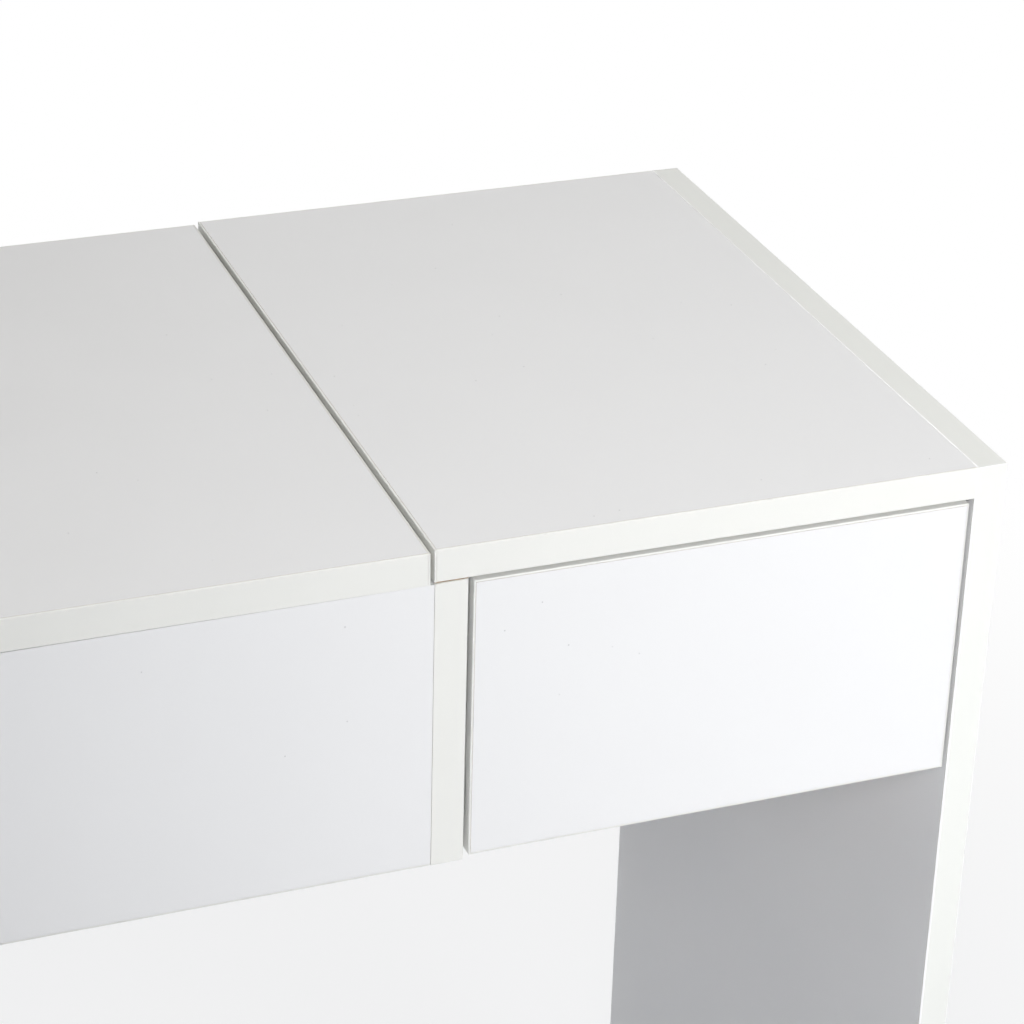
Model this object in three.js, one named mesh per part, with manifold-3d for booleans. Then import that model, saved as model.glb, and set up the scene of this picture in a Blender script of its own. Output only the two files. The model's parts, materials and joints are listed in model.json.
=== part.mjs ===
// A vanity table: a flip-up lid with a mirror under it beside a fixed top over one drawer.
// Millimetres. +X is right, +Z up; the front of the table faces -Y.
import * as THREE from "three";
import { RoundedBoxGeometry } from "three/addons/geometries/RoundedBoxGeometry.js";
import { mergeVertices } from "three/addons/utils/BufferGeometryUtils.js";
import Module from "manifold-3d";

// ---- Carcass ----
const width = 800;
const depth = 400;
const height = 750;
const boardThickness = 16;
const edgeRadius = 0.6;
const seat = 0.1; // glue line, or the seam between pieces that rest on each other
const sideProud = 1; // the side panels stand this much above the fixed top
const bodyHeight = 151; // from the underside of the fixed top down to the lower edge of the divider
const lidBay = 498; // clear width of the compartment under the lid
const glideRadius = 7;
const glideHeight = 4;
const glideInset = 30; // from the front and rear edges to the glides
const nailRadius = 1.25;
const nailLength = 14;
const holePlay = 0.3; // radial clearance round nails, bolts and discs in their holes

// ---- Cam fittings ----
const camRadius = 7.5;
const camDepth = 12;
const camRecess = 0.25;
const camInset = 34; // from the end of the board to the disc's centre
const boltThreadRadius = 2.5;
const boltThreadLength = 10;
const boltShaftRadius = 2;
const boltHeadRadius = 3;
const boltHeadLength = 2.5;
const boltCollarLength = 1.5;
const boltChannelRadius = 4;

// ---- Lid and mirror ----
const lidGap = 2.5; // beside the lid at each end
const lidDrop = 1; // the lid's surface lies this much below the fixed top's
const lidRearClearance = 0.5; // over the compartment's back panel
const bumperHeight = 1;
const bumperRadius = 4;
const bumperInset = 40; // from the lid's ends
const mirrorWidth = 400;
const mirrorDepth = 300;
const mirrorThickness = 4;
const mirrorBevel = 1;

// ---- Lid hinges ----
const hingeLength = 50;
const hingeInset = 90; // from the lid's ends to the middle of each hinge
const knuckleRadius = 3;
const knuckleClearance = 0.5; // from the knuckles to the table's rear face
const knuckleGap = 0.3; // between neighbouring knuckles
const knucklesPerHinge = 3;
const hingePinRadius = 1.5;
const hingePinPlay = 0.25;
const hingePinHead = 1;
const leafThickness = 1.25;
const lidLeafHeight = 14;
const frameLeafHeight = 20;
const screwSpacing = 32;
const screwHeadRadius = 2.75;
const screwHeadHeight = 1.6;
const screwShankRadius = 1.5;
const screwLength = 14;
const screwPointLength = 2.5;

// ---- Folding lid stays ----
// Each stay is a parallelogram: lower arm as long as the reach of the lid's pivot from the hinge line,
// upper arm as long as the reach of the wall pivot, so each joint turns exactly as far as the lid.
const lidPivotReach = 150;
const lidPivotAngle = 8; // degrees below the lid's underside, seen from the hinge line
const wallPivotReach = 110;
const wallPivotAngle = 55;
const armHalfWidth = 7;
const armThickness = 2;
const stayPlateThickness = 1.5;
const stayLayerGap = 0.4;
const rivetRadius = 2.5;
const rivetPlay = 0.3;
const rivetHeadRadius = 4.5;
const rivetHeadHeight = 1.2;
const wallPlateLength = 34;
const wallPlateHeight = 24;
const plateCornerRadius = 4;
const lidFlangeWidth = 15;
const lidFlangeLength = 34;
const lidTabLength = 18;
const plateScrewSpacing = 23; // between the two screw holes of each bracket

// ---- Drawer ----
const frontSideGap = 2.5;
const frontTopGap = 2;
const frontLift = 2; // the drawer front's lower edge lies this much above the divider's
const drawerRearGap = 18; // from the drawer to the back of its bay
const drawerBoard = 12;
const drawerSideHeight = 118;
const drawerSideLift = 14; // the finger grip behind the drawer front's lower edge
const bottomThickness = 4;
const bottomRise = 10; // from the lower edge of the drawer sides to the bottom's underside
const grooveDepth = 5;
const groovePlay = 0.25;

// ---- Ball slides ----
const slideWidth = 12.75; // from the carcass to the drawer side
const railHeight = 35;
const railRearGap = 16; // from the rails to the back of the bay
const railFrontSetback = 2; // behind the drawer front
const railDepth = 9.5;
const railSheet = 1.2;
const railLip = 3;
const ballRadius = 2.9;
const ballPlay = 0.25;
const ballsPerRow = 4;
const ballPitch = 20;
const cageSheet = 0.8;
const cageReach = 7.6; // from the carcass to the cage's open edge
const cageClearance = 0.6; // from the carcass rail's web to the cage
const innerRailGap = 1; // from the cage's web to the drawer rail's flanges
const railHoleInset = 35; // from each end of a rail to its outer screw hole

// ---- Facets ----
const fine = 18;
const coarse = 10;
const weldDistance = 1e-4;

// ---- Levels and stations worked out from the sizes ----
const topSurface = height - sideProud;
const topUnderside = topSurface - boardThickness;
const bodyBottom = topUnderside - bodyHeight;
const lidSurface = topSurface - lidDrop;
const lidUnderside = lidSurface - boardThickness;
const leftInner = -width / 2 + boardThickness;
const rightInner = width / 2 - boardThickness;
const dividerLeft = leftInner + lidBay;
const dividerRight = dividerLeft + boardThickness;
const hingeAxisOffset = knuckleRadius + knuckleClearance;
const hingeAxis = { y: depth + hingeAxisOffset, z: lidUnderside };
const drawerSideBottom = bodyBottom + drawerSideLift;
const drawerSideTop = drawerSideBottom + drawerSideHeight;
const drawerRear = depth - boardThickness - drawerRearGap;
const railFront = boardThickness + railFrontSetback;
const railLength = depth - boardThickness - railRearGap - railFront;
const railLevel = drawerSideBottom + drawerSideHeight / 2;

const wasm = await Module();
wasm.setup();

const material = (color, roughness, metalness) => () =>
  new THREE.MeshStandardMaterial({ color, roughness, metalness });
const melamine = material(0xf0efeb, 0.45, 0);
const drawerWhite = material(0xe9e8e4, 0.55, 0);
const hardboard = material(0xdcdad4, 0.7, 0);
const mirrorGlass = material(0xc9d2d4, 0.03, 1);
const steel = material(0xb4b7ba, 0.35, 1);
const zinc = material(0xa9abad, 0.5, 1);
const nylon = material(0xe4e4e0, 0.6, 0);
const rubber = material(0xd9dcdc, 0.8, 0);

// ---- Solids ----

// A closed geometry as a manifold-3d solid.
function toSolid(geometry) {
  const bare = new THREE.BufferGeometry();
  bare.setAttribute("position", geometry.getAttribute("position"));
  bare.setIndex(geometry.index);
  const merged = mergeVertices(bare, weldDistance);
  const vertProperties = merged.attributes.position.array;
  const triVerts = new Uint32Array(merged.index.array);
  return new wasm.Manifold(new wasm.Mesh({ numProp: 3, vertProperties, triVerts }));
}

function toGeometry(solid) {
  const { vertProperties, triVerts } = solid.getMesh();
  const geometry = new THREE.BufferGeometry();
  geometry.setAttribute("position", new THREE.BufferAttribute(vertProperties, 3));
  geometry.setIndex(new THREE.BufferAttribute(triVerts, 1));
  geometry.computeVertexNormals();
  return geometry;
}

const joined = (parts) => parts.map(toSolid).reduce((whole, part) => whole.add(part));
const cut = (whole, tools) => tools.map(toSolid).reduce((rest, tool) => rest.subtract(tool), whole);

// A box between two corners, in the frame of whatever it is added to or cut from.
function boxBetween(low, high) {
  const size = high.map((value, axis) => value - low[axis]);
  const middle = high.map((value, axis) => (value + low[axis]) / 2);
  return new THREE.BoxGeometry(...size).translate(...middle);
}

// A turned solid from [radius, height] points, its axis along Y.
function turned(profile, facets) {
  const points = profile.map(([radius, along]) => new THREE.Vector2(radius, along));
  return new THREE.LatheGeometry(points, facets);
}

// A round bar along X between two stations.
function barAlongX(radius, from, to, facets) {
  const bar = new THREE.CylinderGeometry(radius, radius, Math.abs(to - from), facets);
  return bar.rotateZ(Math.PI / 2).translate((from + to) / 2, 0, 0);
}

// A flat outline drawn in Y and Z, given its thickness along X between two stations.
function plateAlongX(shape, from, to, curveSegments) {
  const options = { depth: Math.abs(to - from), bevelEnabled: false, curveSegments };
  const axes = [new THREE.Vector3(0, 1, 0), new THREE.Vector3(0, 0, 1), new THREE.Vector3(1, 0, 0)];
  const plate = new THREE.ExtrudeGeometry(shape, options);
  plate.applyMatrix4(new THREE.Matrix4().makeBasis(...axes));
  return plate.translate(Math.min(from, to), 0, 0);
}

// A section drawn in X and Z, drawn out along Y from the front station to the rear one.
function railAlongY(section, front, rear) {
  const options = { depth: rear - front, bevelEnabled: false };
  const axes = [new THREE.Vector3(1, 0, 0), new THREE.Vector3(0, 0, 1), new THREE.Vector3(0, -1, 0)];
  const rail = new THREE.ExtrudeGeometry(new THREE.Shape(section), options);
  rail.applyMatrix4(new THREE.Matrix4().makeBasis(...axes));
  return rail.translate(0, rear, 0);
}

// A clearance hole for a screw, through whatever lies across X at that place.
const holeRadius = screwShankRadius + holePlay;
const screwHoleAcross = (y, z, from, to) => barAlongX(holeRadius, from, to, coarse).translate(0, y, z);

function mesh(parent, name, geometry, finish) {
  const made = new THREE.Mesh(geometry, finish());
  made.name = name;
  parent.add(made);
  return made;
}

// A board between two corners with its edges rounded, less the tools, which are given in the same frame.
function board(parent, name, finish, low, high, tools = [], radius = edgeRadius) {
  const size = high.map((value, axis) => value - low[axis]);
  const middle = high.map((value, axis) => (value + low[axis]) / 2);
  const blank = new RoundedBoxGeometry(...size, 1, radius);
  const placed = tools.map((tool) => tool.clone().translate(...middle.map((value) => -value)));
  const geometry = placed.length ? toGeometry(cut(toSolid(blank), placed)) : blank;
  mesh(parent, name, geometry, finish).position.set(...middle);
}

// ---- Glides ----

const glideStations = [glideInset, depth - glideInset];

const nailTool = (x, y) =>
  new THREE.CylinderGeometry(nailRadius + holePlay, nailRadius + holePlay, 2 * nailLength, coarse)
    .rotateX(Math.PI / 2)
    .translate(x, y, glideHeight);

function glides(parent, side, x) {
  const topOfGlide = glideHeight - seat;
  const tip = glideHeight + nailLength - holePlay;
  const profile = [[0, 0], [glideRadius - edgeRadius, 0], [glideRadius, edgeRadius],
    [glideRadius, topOfGlide], [nailRadius, topOfGlide], [nailRadius, tip], [0, tip]];
  ["front", "rear"].forEach((place, index) => {
    const geometry = turned(profile, fine).rotateX(Math.PI / 2);
    mesh(parent, `glide_${side}_${place}`, geometry, nylon).position.set(x, glideStations[index], 0);
  });
}

// ---- Cam fittings: a disc in the face of a cross board, holding a bolt screwed into the upright ----

const crossBoards = {
  apron: { y: boardThickness / 2, facing: 1, top: lidUnderside - bumperHeight },
  back: { y: depth - boardThickness / 2, facing: -1, top: lidUnderside - lidRearClearance },
};
const camJoints = [];
for (const [crossBoard, { y, facing, top }] of Object.entries(crossBoards)) {
  const z = (bodyBottom + top) / 2;
  camJoints.push({ crossBoard, side: "left", upright: leftInner, inward: 1, y, z, facing });
  camJoints.push({ crossBoard, side: "right", upright: dividerLeft, inward: -1, y, z, facing });
}

const boltTip = camInset - boltHeadLength;

const threadTool = ({ upright, inward, y, z }) =>
  barAlongX(boltThreadRadius + holePlay, inward, -inward * (boltThreadLength + holePlay), coarse)
    .translate(upright, y, z);

function pocketTools({ upright, inward, y, z, facing }) {
  const radius = camRadius + holePlay;
  const floor = y + facing * (boardThickness / 2 - camRecess - camDepth - holePlay);
  const outside = y + facing * boardThickness;
  const pocket = new THREE.CylinderGeometry(radius, radius, Math.abs(outside - floor), fine)
    .translate(upright + inward * camInset, (floor + outside) / 2, z);
  const channel = barAlongX(boltChannelRadius, -inward, inward * camInset, coarse)
    .translate(upright, y, z);
  return [pocket, channel];
}

function camFitting(parent, joint) {
  const { crossBoard, side, upright, inward, y, z, facing } = joint;
  const group = new THREE.Group();
  group.position.set(upright, y, z);
  parent.add(group);
  const middle = facing * (boardThickness / 2 - camRecess - camDepth / 2);
  const disc = new THREE.CylinderGeometry(camRadius, camRadius, camDepth, fine);
  disc.translate(inward * camInset, middle, 0);
  const slotEnd = inward * (boltTip + holePlay);
  const slot = barAlongX(boltHeadRadius + holePlay, inward * (camInset - 2 * camRadius), slotEnd, coarse);
  mesh(group, `cam_disc_${crossBoard}_${side}`, toGeometry(cut(toSolid(disc), [slot])), zinc);
  const profile = [[0, -boltThreadLength], [boltThreadRadius, -boltThreadLength],
    [boltThreadRadius, seat], [boltHeadRadius, seat], [boltHeadRadius, boltCollarLength],
    [boltShaftRadius, boltCollarLength], [boltShaftRadius, boltTip - boltHeadLength],
    [boltHeadRadius, boltTip - boltHeadLength], [boltHeadRadius, boltTip], [0, boltTip]];
  const bolt = turned(profile, coarse).rotateZ((-inward * Math.PI) / 2);
  mesh(group, `cam_bolt_${crossBoard}_${side}`, bolt, zinc);
}

// ---- Countersunk screws: head outwards along +Y, the same profile cuts their holes ----

function screwShape(play) {
  const head = screwHeadRadius + play;
  const shank = screwShankRadius + play;
  const shankEnd = screwPointLength - screwLength;
  const profile = [[0, -screwLength - play], [shank, shankEnd - play], [shank, -screwHeadHeight],
    [head, 0], [head, play + seat], [0, play + seat]];
  return turned(profile, coarse);
}

// ---- Lid hinges: butt hinges behind the table, their pins level with the lid's underside ----

const hinges = [
  { side: "left", x: leftInner + lidGap + hingeInset },
  { side: "right", x: dividerLeft - lidGap - hingeInset },
];
const screwStations = [-screwSpacing / 2, screwSpacing / 2];
const leafOuter = leafThickness + seat - hingeAxisOffset;
const leafInner = seat - hingeAxisOffset;
const leafRelief = knuckleRadius + knuckleGap; // from the hinge line to where a leaf is clear of the other's
const lidScrewRise = (leafRelief + lidLeafHeight) / 2;
const frameScrewRise = -(leafRelief + frameLeafHeight) / 2;

const screwTools = (rise) =>
  hinges.flatMap(({ x }) =>
    screwStations.map((station) =>
      screwShape(holePlay).translate(x + station, hingeAxis.y + leafOuter, hingeAxis.z + rise),
    ),
  );

function hingeLeaf(group, name, knuckles, up, leafHeight, rise) {
  const knuckleLength = hingeLength / knucklesPerHinge;
  const parts = [];
  const from = up * leafRelief;
  const to = up * leafHeight;
  parts.push(boxBetween([-hingeLength / 2, leafInner, Math.min(from, to)],
    [hingeLength / 2, leafOuter, Math.max(from, to)]));
  for (const knuckle of knuckles) {
    const start = -hingeLength / 2 + knuckle * knuckleLength + knuckleGap / 2;
    const end = start + knuckleLength - knuckleGap;
    parts.push(barAlongX(knuckleRadius, start, end, fine));
    parts.push(boxBetween([start, leafInner, Math.min(0, to)], [end, leafOuter, Math.max(0, to)]));
  }
  const bore = barAlongX(hingePinRadius + hingePinPlay, -hingeLength, hingeLength, fine);
  const holes = screwStations.map((x) => screwShape(holePlay).translate(x, leafOuter, rise));
  mesh(group, name, toGeometry(cut(joined(parts), [bore, ...holes])), steel);
}

function lidHinge(parent, { side, x }) {
  const group = new THREE.Group();
  group.position.set(x, hingeAxis.y, hingeAxis.z);
  parent.add(group);
  hingeLeaf(group, `hinge_lid_leaf_${side}`, [1], 1, lidLeafHeight, lidScrewRise);
  hingeLeaf(group, `hinge_frame_leaf_${side}`, [0, 2], -1, frameLeafHeight, frameScrewRise);
  const end = hingeLength / 2 + hingePinHead;
  const pin = barAlongX(hingePinRadius, -end, end, fine);
  mesh(group, `hinge_pin_${side}`, pin, steel);
  for (const [leaf, rise] of [["lid", lidScrewRise], ["frame", frameScrewRise]]) {
    screwStations.forEach((station, index) => {
      const screw = mesh(group, `hinge_screw_${leaf}_${side}_${index + 1}`, screwShape(0), steel);
      screw.position.set(station, leafOuter - seat, rise);
    });
  }
}

// ---- Folding lid stays ----

const pivotAt = (reach, degrees) => {
  const angle = THREE.MathUtils.degToRad(degrees);
  return { y: -reach * Math.cos(angle), z: -reach * Math.sin(angle) };
};
const lidPivot = pivotAt(lidPivotReach, lidPivotAngle);
const wallPivot = pivotAt(wallPivotReach, wallPivotAngle);
const elbow = { y: lidPivot.y + wallPivot.y, z: lidPivot.z + wallPivot.z };

// The stay's layers, counted from the wall that it is screwed to.
const lowerArmNear = seat + stayPlateThickness + stayLayerGap;
const lowerArmFar = lowerArmNear + armThickness;
const upperArmNear = lowerArmFar + stayLayerGap;
const upperArmFar = upperArmNear + armThickness;
const lidTabNear = upperArmFar + stayLayerGap;
const lidTabFar = lidTabNear + stayPlateThickness;

function armShape(from, to) {
  const along = Math.atan2(to.z - from.z, to.y - from.y);
  const square = Math.PI / 2;
  const shape = new THREE.Shape();
  shape.absarc(from.y, from.z, armHalfWidth, along + square, along + 3 * square, false);
  shape.absarc(to.y, to.z, armHalfWidth, along - square, along + square, false);
  shape.closePath();
  for (const { y, z } of [from, to]) {
    shape.holes.push(new THREE.Path().absarc(y, z, rivetRadius + rivetPlay, 0, 2 * Math.PI, false));
  }
  return shape;
}

// A rectangle in Y and Z round a middle, with its corners rounded.
function roundedRectangle(middle, length, tall, radius) {
  const [right, top] = [middle.y + length / 2, middle.z + tall / 2];
  const [left, bottom] = [middle.y - length / 2, middle.z - tall / 2];
  const square = Math.PI / 2;
  const shape = new THREE.Shape();
  shape.absarc(right - radius, top - radius, radius, 0, square, false);
  shape.absarc(left + radius, top - radius, radius, square, 2 * square, false);
  shape.absarc(left + radius, bottom + radius, radius, 2 * square, 3 * square, false);
  shape.absarc(right - radius, bottom + radius, radius, 3 * square, 4 * square, false);
  shape.closePath();
  return shape;
}

const rivetBar = ({ y, z }, radius, from, to) => barAlongX(radius, from, to, coarse).translate(0, y, z);

function lidStay(parent, side, wall, inward) {
  const group = new THREE.Group();
  group.position.set(wall, hingeAxis.y, hingeAxis.z);
  parent.add(group);
  const at = (distance) => inward * distance;
  const arc = coarse / 2;

  const wallPlate = roundedRectangle(wallPivot, wallPlateLength, wallPlateHeight, plateCornerRadius);
  const wallHead = lowerArmFar + stayLayerGap;
  const wallBracket = joined([
    plateAlongX(wallPlate, at(seat), at(seat + stayPlateThickness), arc),
    rivetBar(wallPivot, rivetRadius, at(seat), at(wallHead + rivetHeadHeight)),
    rivetBar(wallPivot, rivetHeadRadius, at(wallHead), at(wallHead + rivetHeadHeight)),
  ]);
  const bracketHoles = [-plateScrewSpacing / 2, plateScrewSpacing / 2];
  const wallHoles = bracketHoles.map((offset) =>
    screwHoleAcross(wallPivot.y + offset, wallPivot.z, 0, at(lowerArmNear)));
  mesh(group, `stay_wall_bracket_${side}`, toGeometry(cut(wallBracket, wallHoles)), steel);

  const lowerArm = plateAlongX(armShape(wallPivot, elbow), at(lowerArmNear), at(lowerArmFar), arc);
  mesh(group, `stay_lower_arm_${side}`, lowerArm, steel);
  const upperArm = plateAlongX(armShape(lidPivot, elbow), at(upperArmNear), at(upperArmFar), arc);
  mesh(group, `stay_upper_arm_${side}`, upperArm, steel);

  const outerHead = lowerArmNear - seat;
  const innerHead = upperArmFar + stayLayerGap;
  const elbowRivet = joined([
    rivetBar(elbow, rivetRadius, at(outerHead), at(innerHead)),
    rivetBar(elbow, rivetHeadRadius, at(outerHead), at(outerHead - rivetHeadHeight)),
    rivetBar(elbow, rivetHeadRadius, at(innerHead), at(innerHead + rivetHeadHeight)),
  ]);
  mesh(group, `stay_elbow_rivet_${side}`, toGeometry(elbowRivet), steel);

  const tabMiddle = { y: lidPivot.y, z: (lidPivot.z - armHalfWidth - seat) / 2 };
  const tabShape = roundedRectangle(tabMiddle, lidTabLength, armHalfWidth - seat - lidPivot.z, seat);
  const lidHead = upperArmNear - stayLayerGap;
  const flangeCorners = [at(lidTabNear), at(lidTabNear + lidFlangeWidth)];
  const lidBracket = joined([
    plateAlongX(tabShape, at(lidTabNear), at(lidTabFar), arc),
    boxBetween(
      [Math.min(...flangeCorners), lidPivot.y - lidFlangeLength / 2, -seat - stayPlateThickness],
      [Math.max(...flangeCorners), lidPivot.y + lidFlangeLength / 2, -seat],
    ),
    rivetBar(lidPivot, rivetRadius, at(lidTabFar), at(lidHead - rivetHeadHeight)),
    rivetBar(lidPivot, rivetHeadRadius, at(lidHead), at(lidHead - rivetHeadHeight)),
  ]);
  const flangeHoles = bracketHoles.map((offset) =>
    new THREE.CylinderGeometry(holeRadius, holeRadius, 4 * stayPlateThickness, coarse)
      .rotateX(Math.PI / 2)
      .translate(at(lidTabFar + lidFlangeWidth / 2), lidPivot.y + offset, 0));
  mesh(group, `stay_lid_bracket_${side}`, toGeometry(cut(lidBracket, flangeHoles)), steel);
}

// ---- Carcass ----

function carcass(parent) {
  const jointsOn = (upright) => camJoints.filter((joint) => joint.upright === upright);
  const pocketsOf = (name) => camJoints.filter((joint) => joint.crossBoard === name).flatMap(pocketTools);
  const [leftMiddle, rightMiddle] = [-1, 1].map((sign) => sign * (width - boardThickness) / 2);

  const leftNails = glideStations.map((y) => nailTool(leftMiddle, y));
  board(parent, "left_side_panel", melamine, [-width / 2, 0, glideHeight],
    [leftInner, depth, height], [...leftNails, ...jointsOn(leftInner).map(threadTool)]);
  board(parent, "right_side_panel", melamine, [rightInner, 0, glideHeight],
    [width / 2, depth, height], glideStations.map((y) => nailTool(rightMiddle, y)));
  board(parent, "divider", melamine, [dividerLeft, 0, bodyBottom],
    [dividerRight, depth, topUnderside - seat], jointsOn(dividerLeft).map(threadTool));
  board(parent, "fixed_top", melamine, [dividerLeft, 0, topUnderside],
    [rightInner - seat, depth, topSurface]);

  const compartment = [leftInner + seat, dividerLeft - seat];
  board(parent, "front_apron", melamine, [compartment[0], 0, bodyBottom],
    [compartment[1], boardThickness, crossBoards.apron.top], pocketsOf("apron"));
  board(parent, "compartment_back", melamine, [compartment[0], depth - boardThickness, bodyBottom],
    [compartment[1], depth, crossBoards.back.top], [...pocketsOf("back"), ...screwTools(frameScrewRise)]);
  board(parent, "compartment_floor", melamine, [compartment[0], boardThickness + seat, bodyBottom],
    [compartment[1], depth - boardThickness - seat, bodyBottom + boardThickness]);
  board(parent, "drawer_bay_back", melamine, [dividerRight + seat, depth - boardThickness, bodyBottom],
    [rightInner - seat, depth, topUnderside - seat]);

  glides(parent, "left", leftMiddle);
  glides(parent, "right", rightMiddle);
  camJoints.forEach((joint) => camFitting(parent, joint));
}

// ---- Lid, mirror and bumpers ----

function lid(parent) {
  const [left, right] = [leftInner + lidGap, dividerLeft - lidGap];
  const middle = { x: (left + right) / 2, y: depth / 2 };
  board(parent, "lid", melamine, [left, 0, lidUnderside],
    [right, depth, lidSurface], screwTools(lidScrewRise));
  const mirrorTop = lidUnderside - seat;
  board(parent, "mirror", mirrorGlass,
    [middle.x - mirrorWidth / 2, middle.y - mirrorDepth / 2, mirrorTop - mirrorThickness],
    [middle.x + mirrorWidth / 2, middle.y + mirrorDepth / 2, mirrorTop], [], mirrorBevel);
  for (const [side, x] of [["left", left + bumperInset], ["right", right - bumperInset]]) {
    const pad = new THREE.CylinderGeometry(bumperRadius, bumperRadius, bumperHeight - 2 * seat, coarse);
    const placed = mesh(parent, `lid_bumper_${side}`, pad.rotateX(Math.PI / 2), rubber);
    placed.position.set(x, boardThickness / 2, lidUnderside - bumperHeight / 2);
  }
}

// ---- Drawer ----

function drawer(parent) {
  const sideOuter = [dividerRight + slideWidth, rightInner - slideWidth];
  const sideInner = [sideOuter[0] + drawerBoard, sideOuter[1] - drawerBoard];
  const bottomZ = drawerSideBottom + bottomRise;
  const bottomX = [sideInner[0] - grooveDepth, sideInner[1] + grooveDepth];
  const frontGroove = boardThickness - grooveDepth;
  const groove = boxBetween([bottomX[0] - groovePlay, frontGroove - groovePlay, bottomZ - groovePlay],
    [bottomX[1] + groovePlay, drawerRear + boardThickness, bottomZ + bottomThickness + groovePlay]);

  board(parent, "drawer_front", melamine, [dividerRight + frontSideGap, 0, bodyBottom + frontLift],
    [rightInner - frontSideGap, boardThickness, topUnderside - frontTopGap], [groove]);
  for (const [index, side] of ["left", "right"].entries()) {
    const [low, high] = [sideOuter[index], sideInner[index]].sort((a, b) => a - b);
    board(parent, `drawer_side_${side}`, drawerWhite, [low, boardThickness + seat, drawerSideBottom],
      [high, drawerRear, drawerSideTop], [groove]);
  }
  board(parent, "drawer_back", drawerWhite,
    [sideInner[0] + seat, drawerRear - drawerBoard, bottomZ + bottomThickness + seat],
    [sideInner[1] - seat, drawerRear, drawerSideTop]);
  board(parent, "drawer_bottom", hardboard, [bottomX[0], frontGroove, bottomZ],
    [bottomX[1], drawerRear, bottomZ + bottomThickness]);
}

// ---- Ball slides: a rail on the carcass, a rail on the drawer and a cage of balls between them ----

function ballSlide(parent, side, wall, inward) {
  const group = new THREE.Group();
  group.position.set(wall, railFront, railLevel);
  parent.add(group);
  const half = railHeight / 2;
  const race = half - railSheet; // inner face of the carcass rail's flanges
  const ballLevel = race - ballPlay - ballRadius;
  const drawerHalf = ballLevel - ballRadius - ballPlay;
  const section = (points) => points.map(([x, z]) => new THREE.Vector2(inward * x, z));
  const open = railDepth - railSheet;

  const carcassSection = section([[seat, -half], [railDepth, -half], [railDepth, railLip - half],
    [open, railLip - half], [open, -race], [seat + railSheet, -race], [seat + railSheet, race],
    [open, race], [open, half - railLip], [railDepth, half - railLip], [railDepth, half], [seat, half]]);
  const holes = [railHoleInset, railLength / 2, railLength - railHoleInset].map((y) =>
    screwHoleAcross(y, 0, -inward, inward * (slideWidth + 1)));
  const carcassRail = cut(toSolid(railAlongY(carcassSection, 0, railLength)), holes);
  mesh(group, `carcass_rail_${side}`, toGeometry(carcassRail), zinc);

  const cageNear = seat + railSheet + cageClearance;
  const cageWeb = cageNear + cageSheet;
  const flangeNear = cageWeb + innerRailGap;
  const [outer, web] = [slideWidth - seat, slideWidth - seat - railSheet];
  const flangeInner = drawerHalf - railSheet;
  const drawerSection = section([[flangeNear, -drawerHalf], [outer, -drawerHalf], [outer, drawerHalf],
    [flangeNear, drawerHalf], [flangeNear, flangeInner], [web, flangeInner], [web, -flangeInner],
    [flangeNear, -flangeInner]]);
  const drawerRail = cut(toSolid(railAlongY(drawerSection, 0, railLength)), holes);
  mesh(group, `drawer_rail_${side}`, toGeometry(drawerRail), zinc);

  const cageOuter = ballLevel + cageSheet / 2;
  const cageInner = ballLevel - cageSheet / 2;
  const cageSection = section([[cageNear, -cageOuter], [cageReach, -cageOuter], [cageReach, -cageInner],
    [cageWeb, -cageInner], [cageWeb, cageInner], [cageReach, cageInner], [cageReach, cageOuter],
    [cageNear, cageOuter]]);
  const cageHalfLength = (ballsPerRow * ballPitch) / 2;
  const parts = [railAlongY(cageSection, -cageHalfLength, cageHalfLength)];
  const ballX = inward * (cageWeb + open) / 2;
  for (let index = 0; index < ballsPerRow; index += 1) {
    const y = (index - (ballsPerRow - 1) / 2) * ballPitch;
    for (const z of [-ballLevel, ballLevel]) {
      parts.push(new THREE.SphereGeometry(ballRadius, coarse, coarse / 2).translate(ballX, y, z));
    }
  }
  mesh(group, `ball_cage_${side}`, toGeometry(joined(parts)), steel).position.y = railLength / 2;
}

// ---- The whole table, its origin on the floor in the middle of its box ----

const table = new THREE.Group();
const fromFrontEdge = new THREE.Group(); // holds every piece, its Y counted from the table's front plane
fromFrontEdge.position.y = -(hingeAxis.y + knuckleRadius) / 2;
table.add(fromFrontEdge);
carcass(fromFrontEdge);
lid(fromFrontEdge);
hinges.forEach((hinge) => lidHinge(fromFrontEdge, hinge));
lidStay(fromFrontEdge, "left", leftInner, 1);
lidStay(fromFrontEdge, "right", dividerLeft, -1);
drawer(fromFrontEdge);
ballSlide(fromFrontEdge, "left", dividerRight, 1);
ballSlide(fromFrontEdge, "right", rightInner, -1);

export default table;
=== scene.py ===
"""A white vanity table: a flip-up lid over a mirror compartment, beside a fixed top over one drawer.

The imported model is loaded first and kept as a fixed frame. Every board and fitting is then modelled
and finished around it, in metres and in the frame's own axes: +X right, -Y front, +Z up.
"""

import json
import logging
import math
from contextlib import contextmanager
from dataclasses import dataclass, field
from enum import Enum, IntEnum, StrEnum
from typing import Callable, Iterable, Iterator, Sequence, Union

import bmesh
import bpy
from bpy.types import Material, MeshPolygon, Node, NodeSocket, NodeTree, Object
from mathutils import Matrix, Vector

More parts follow.
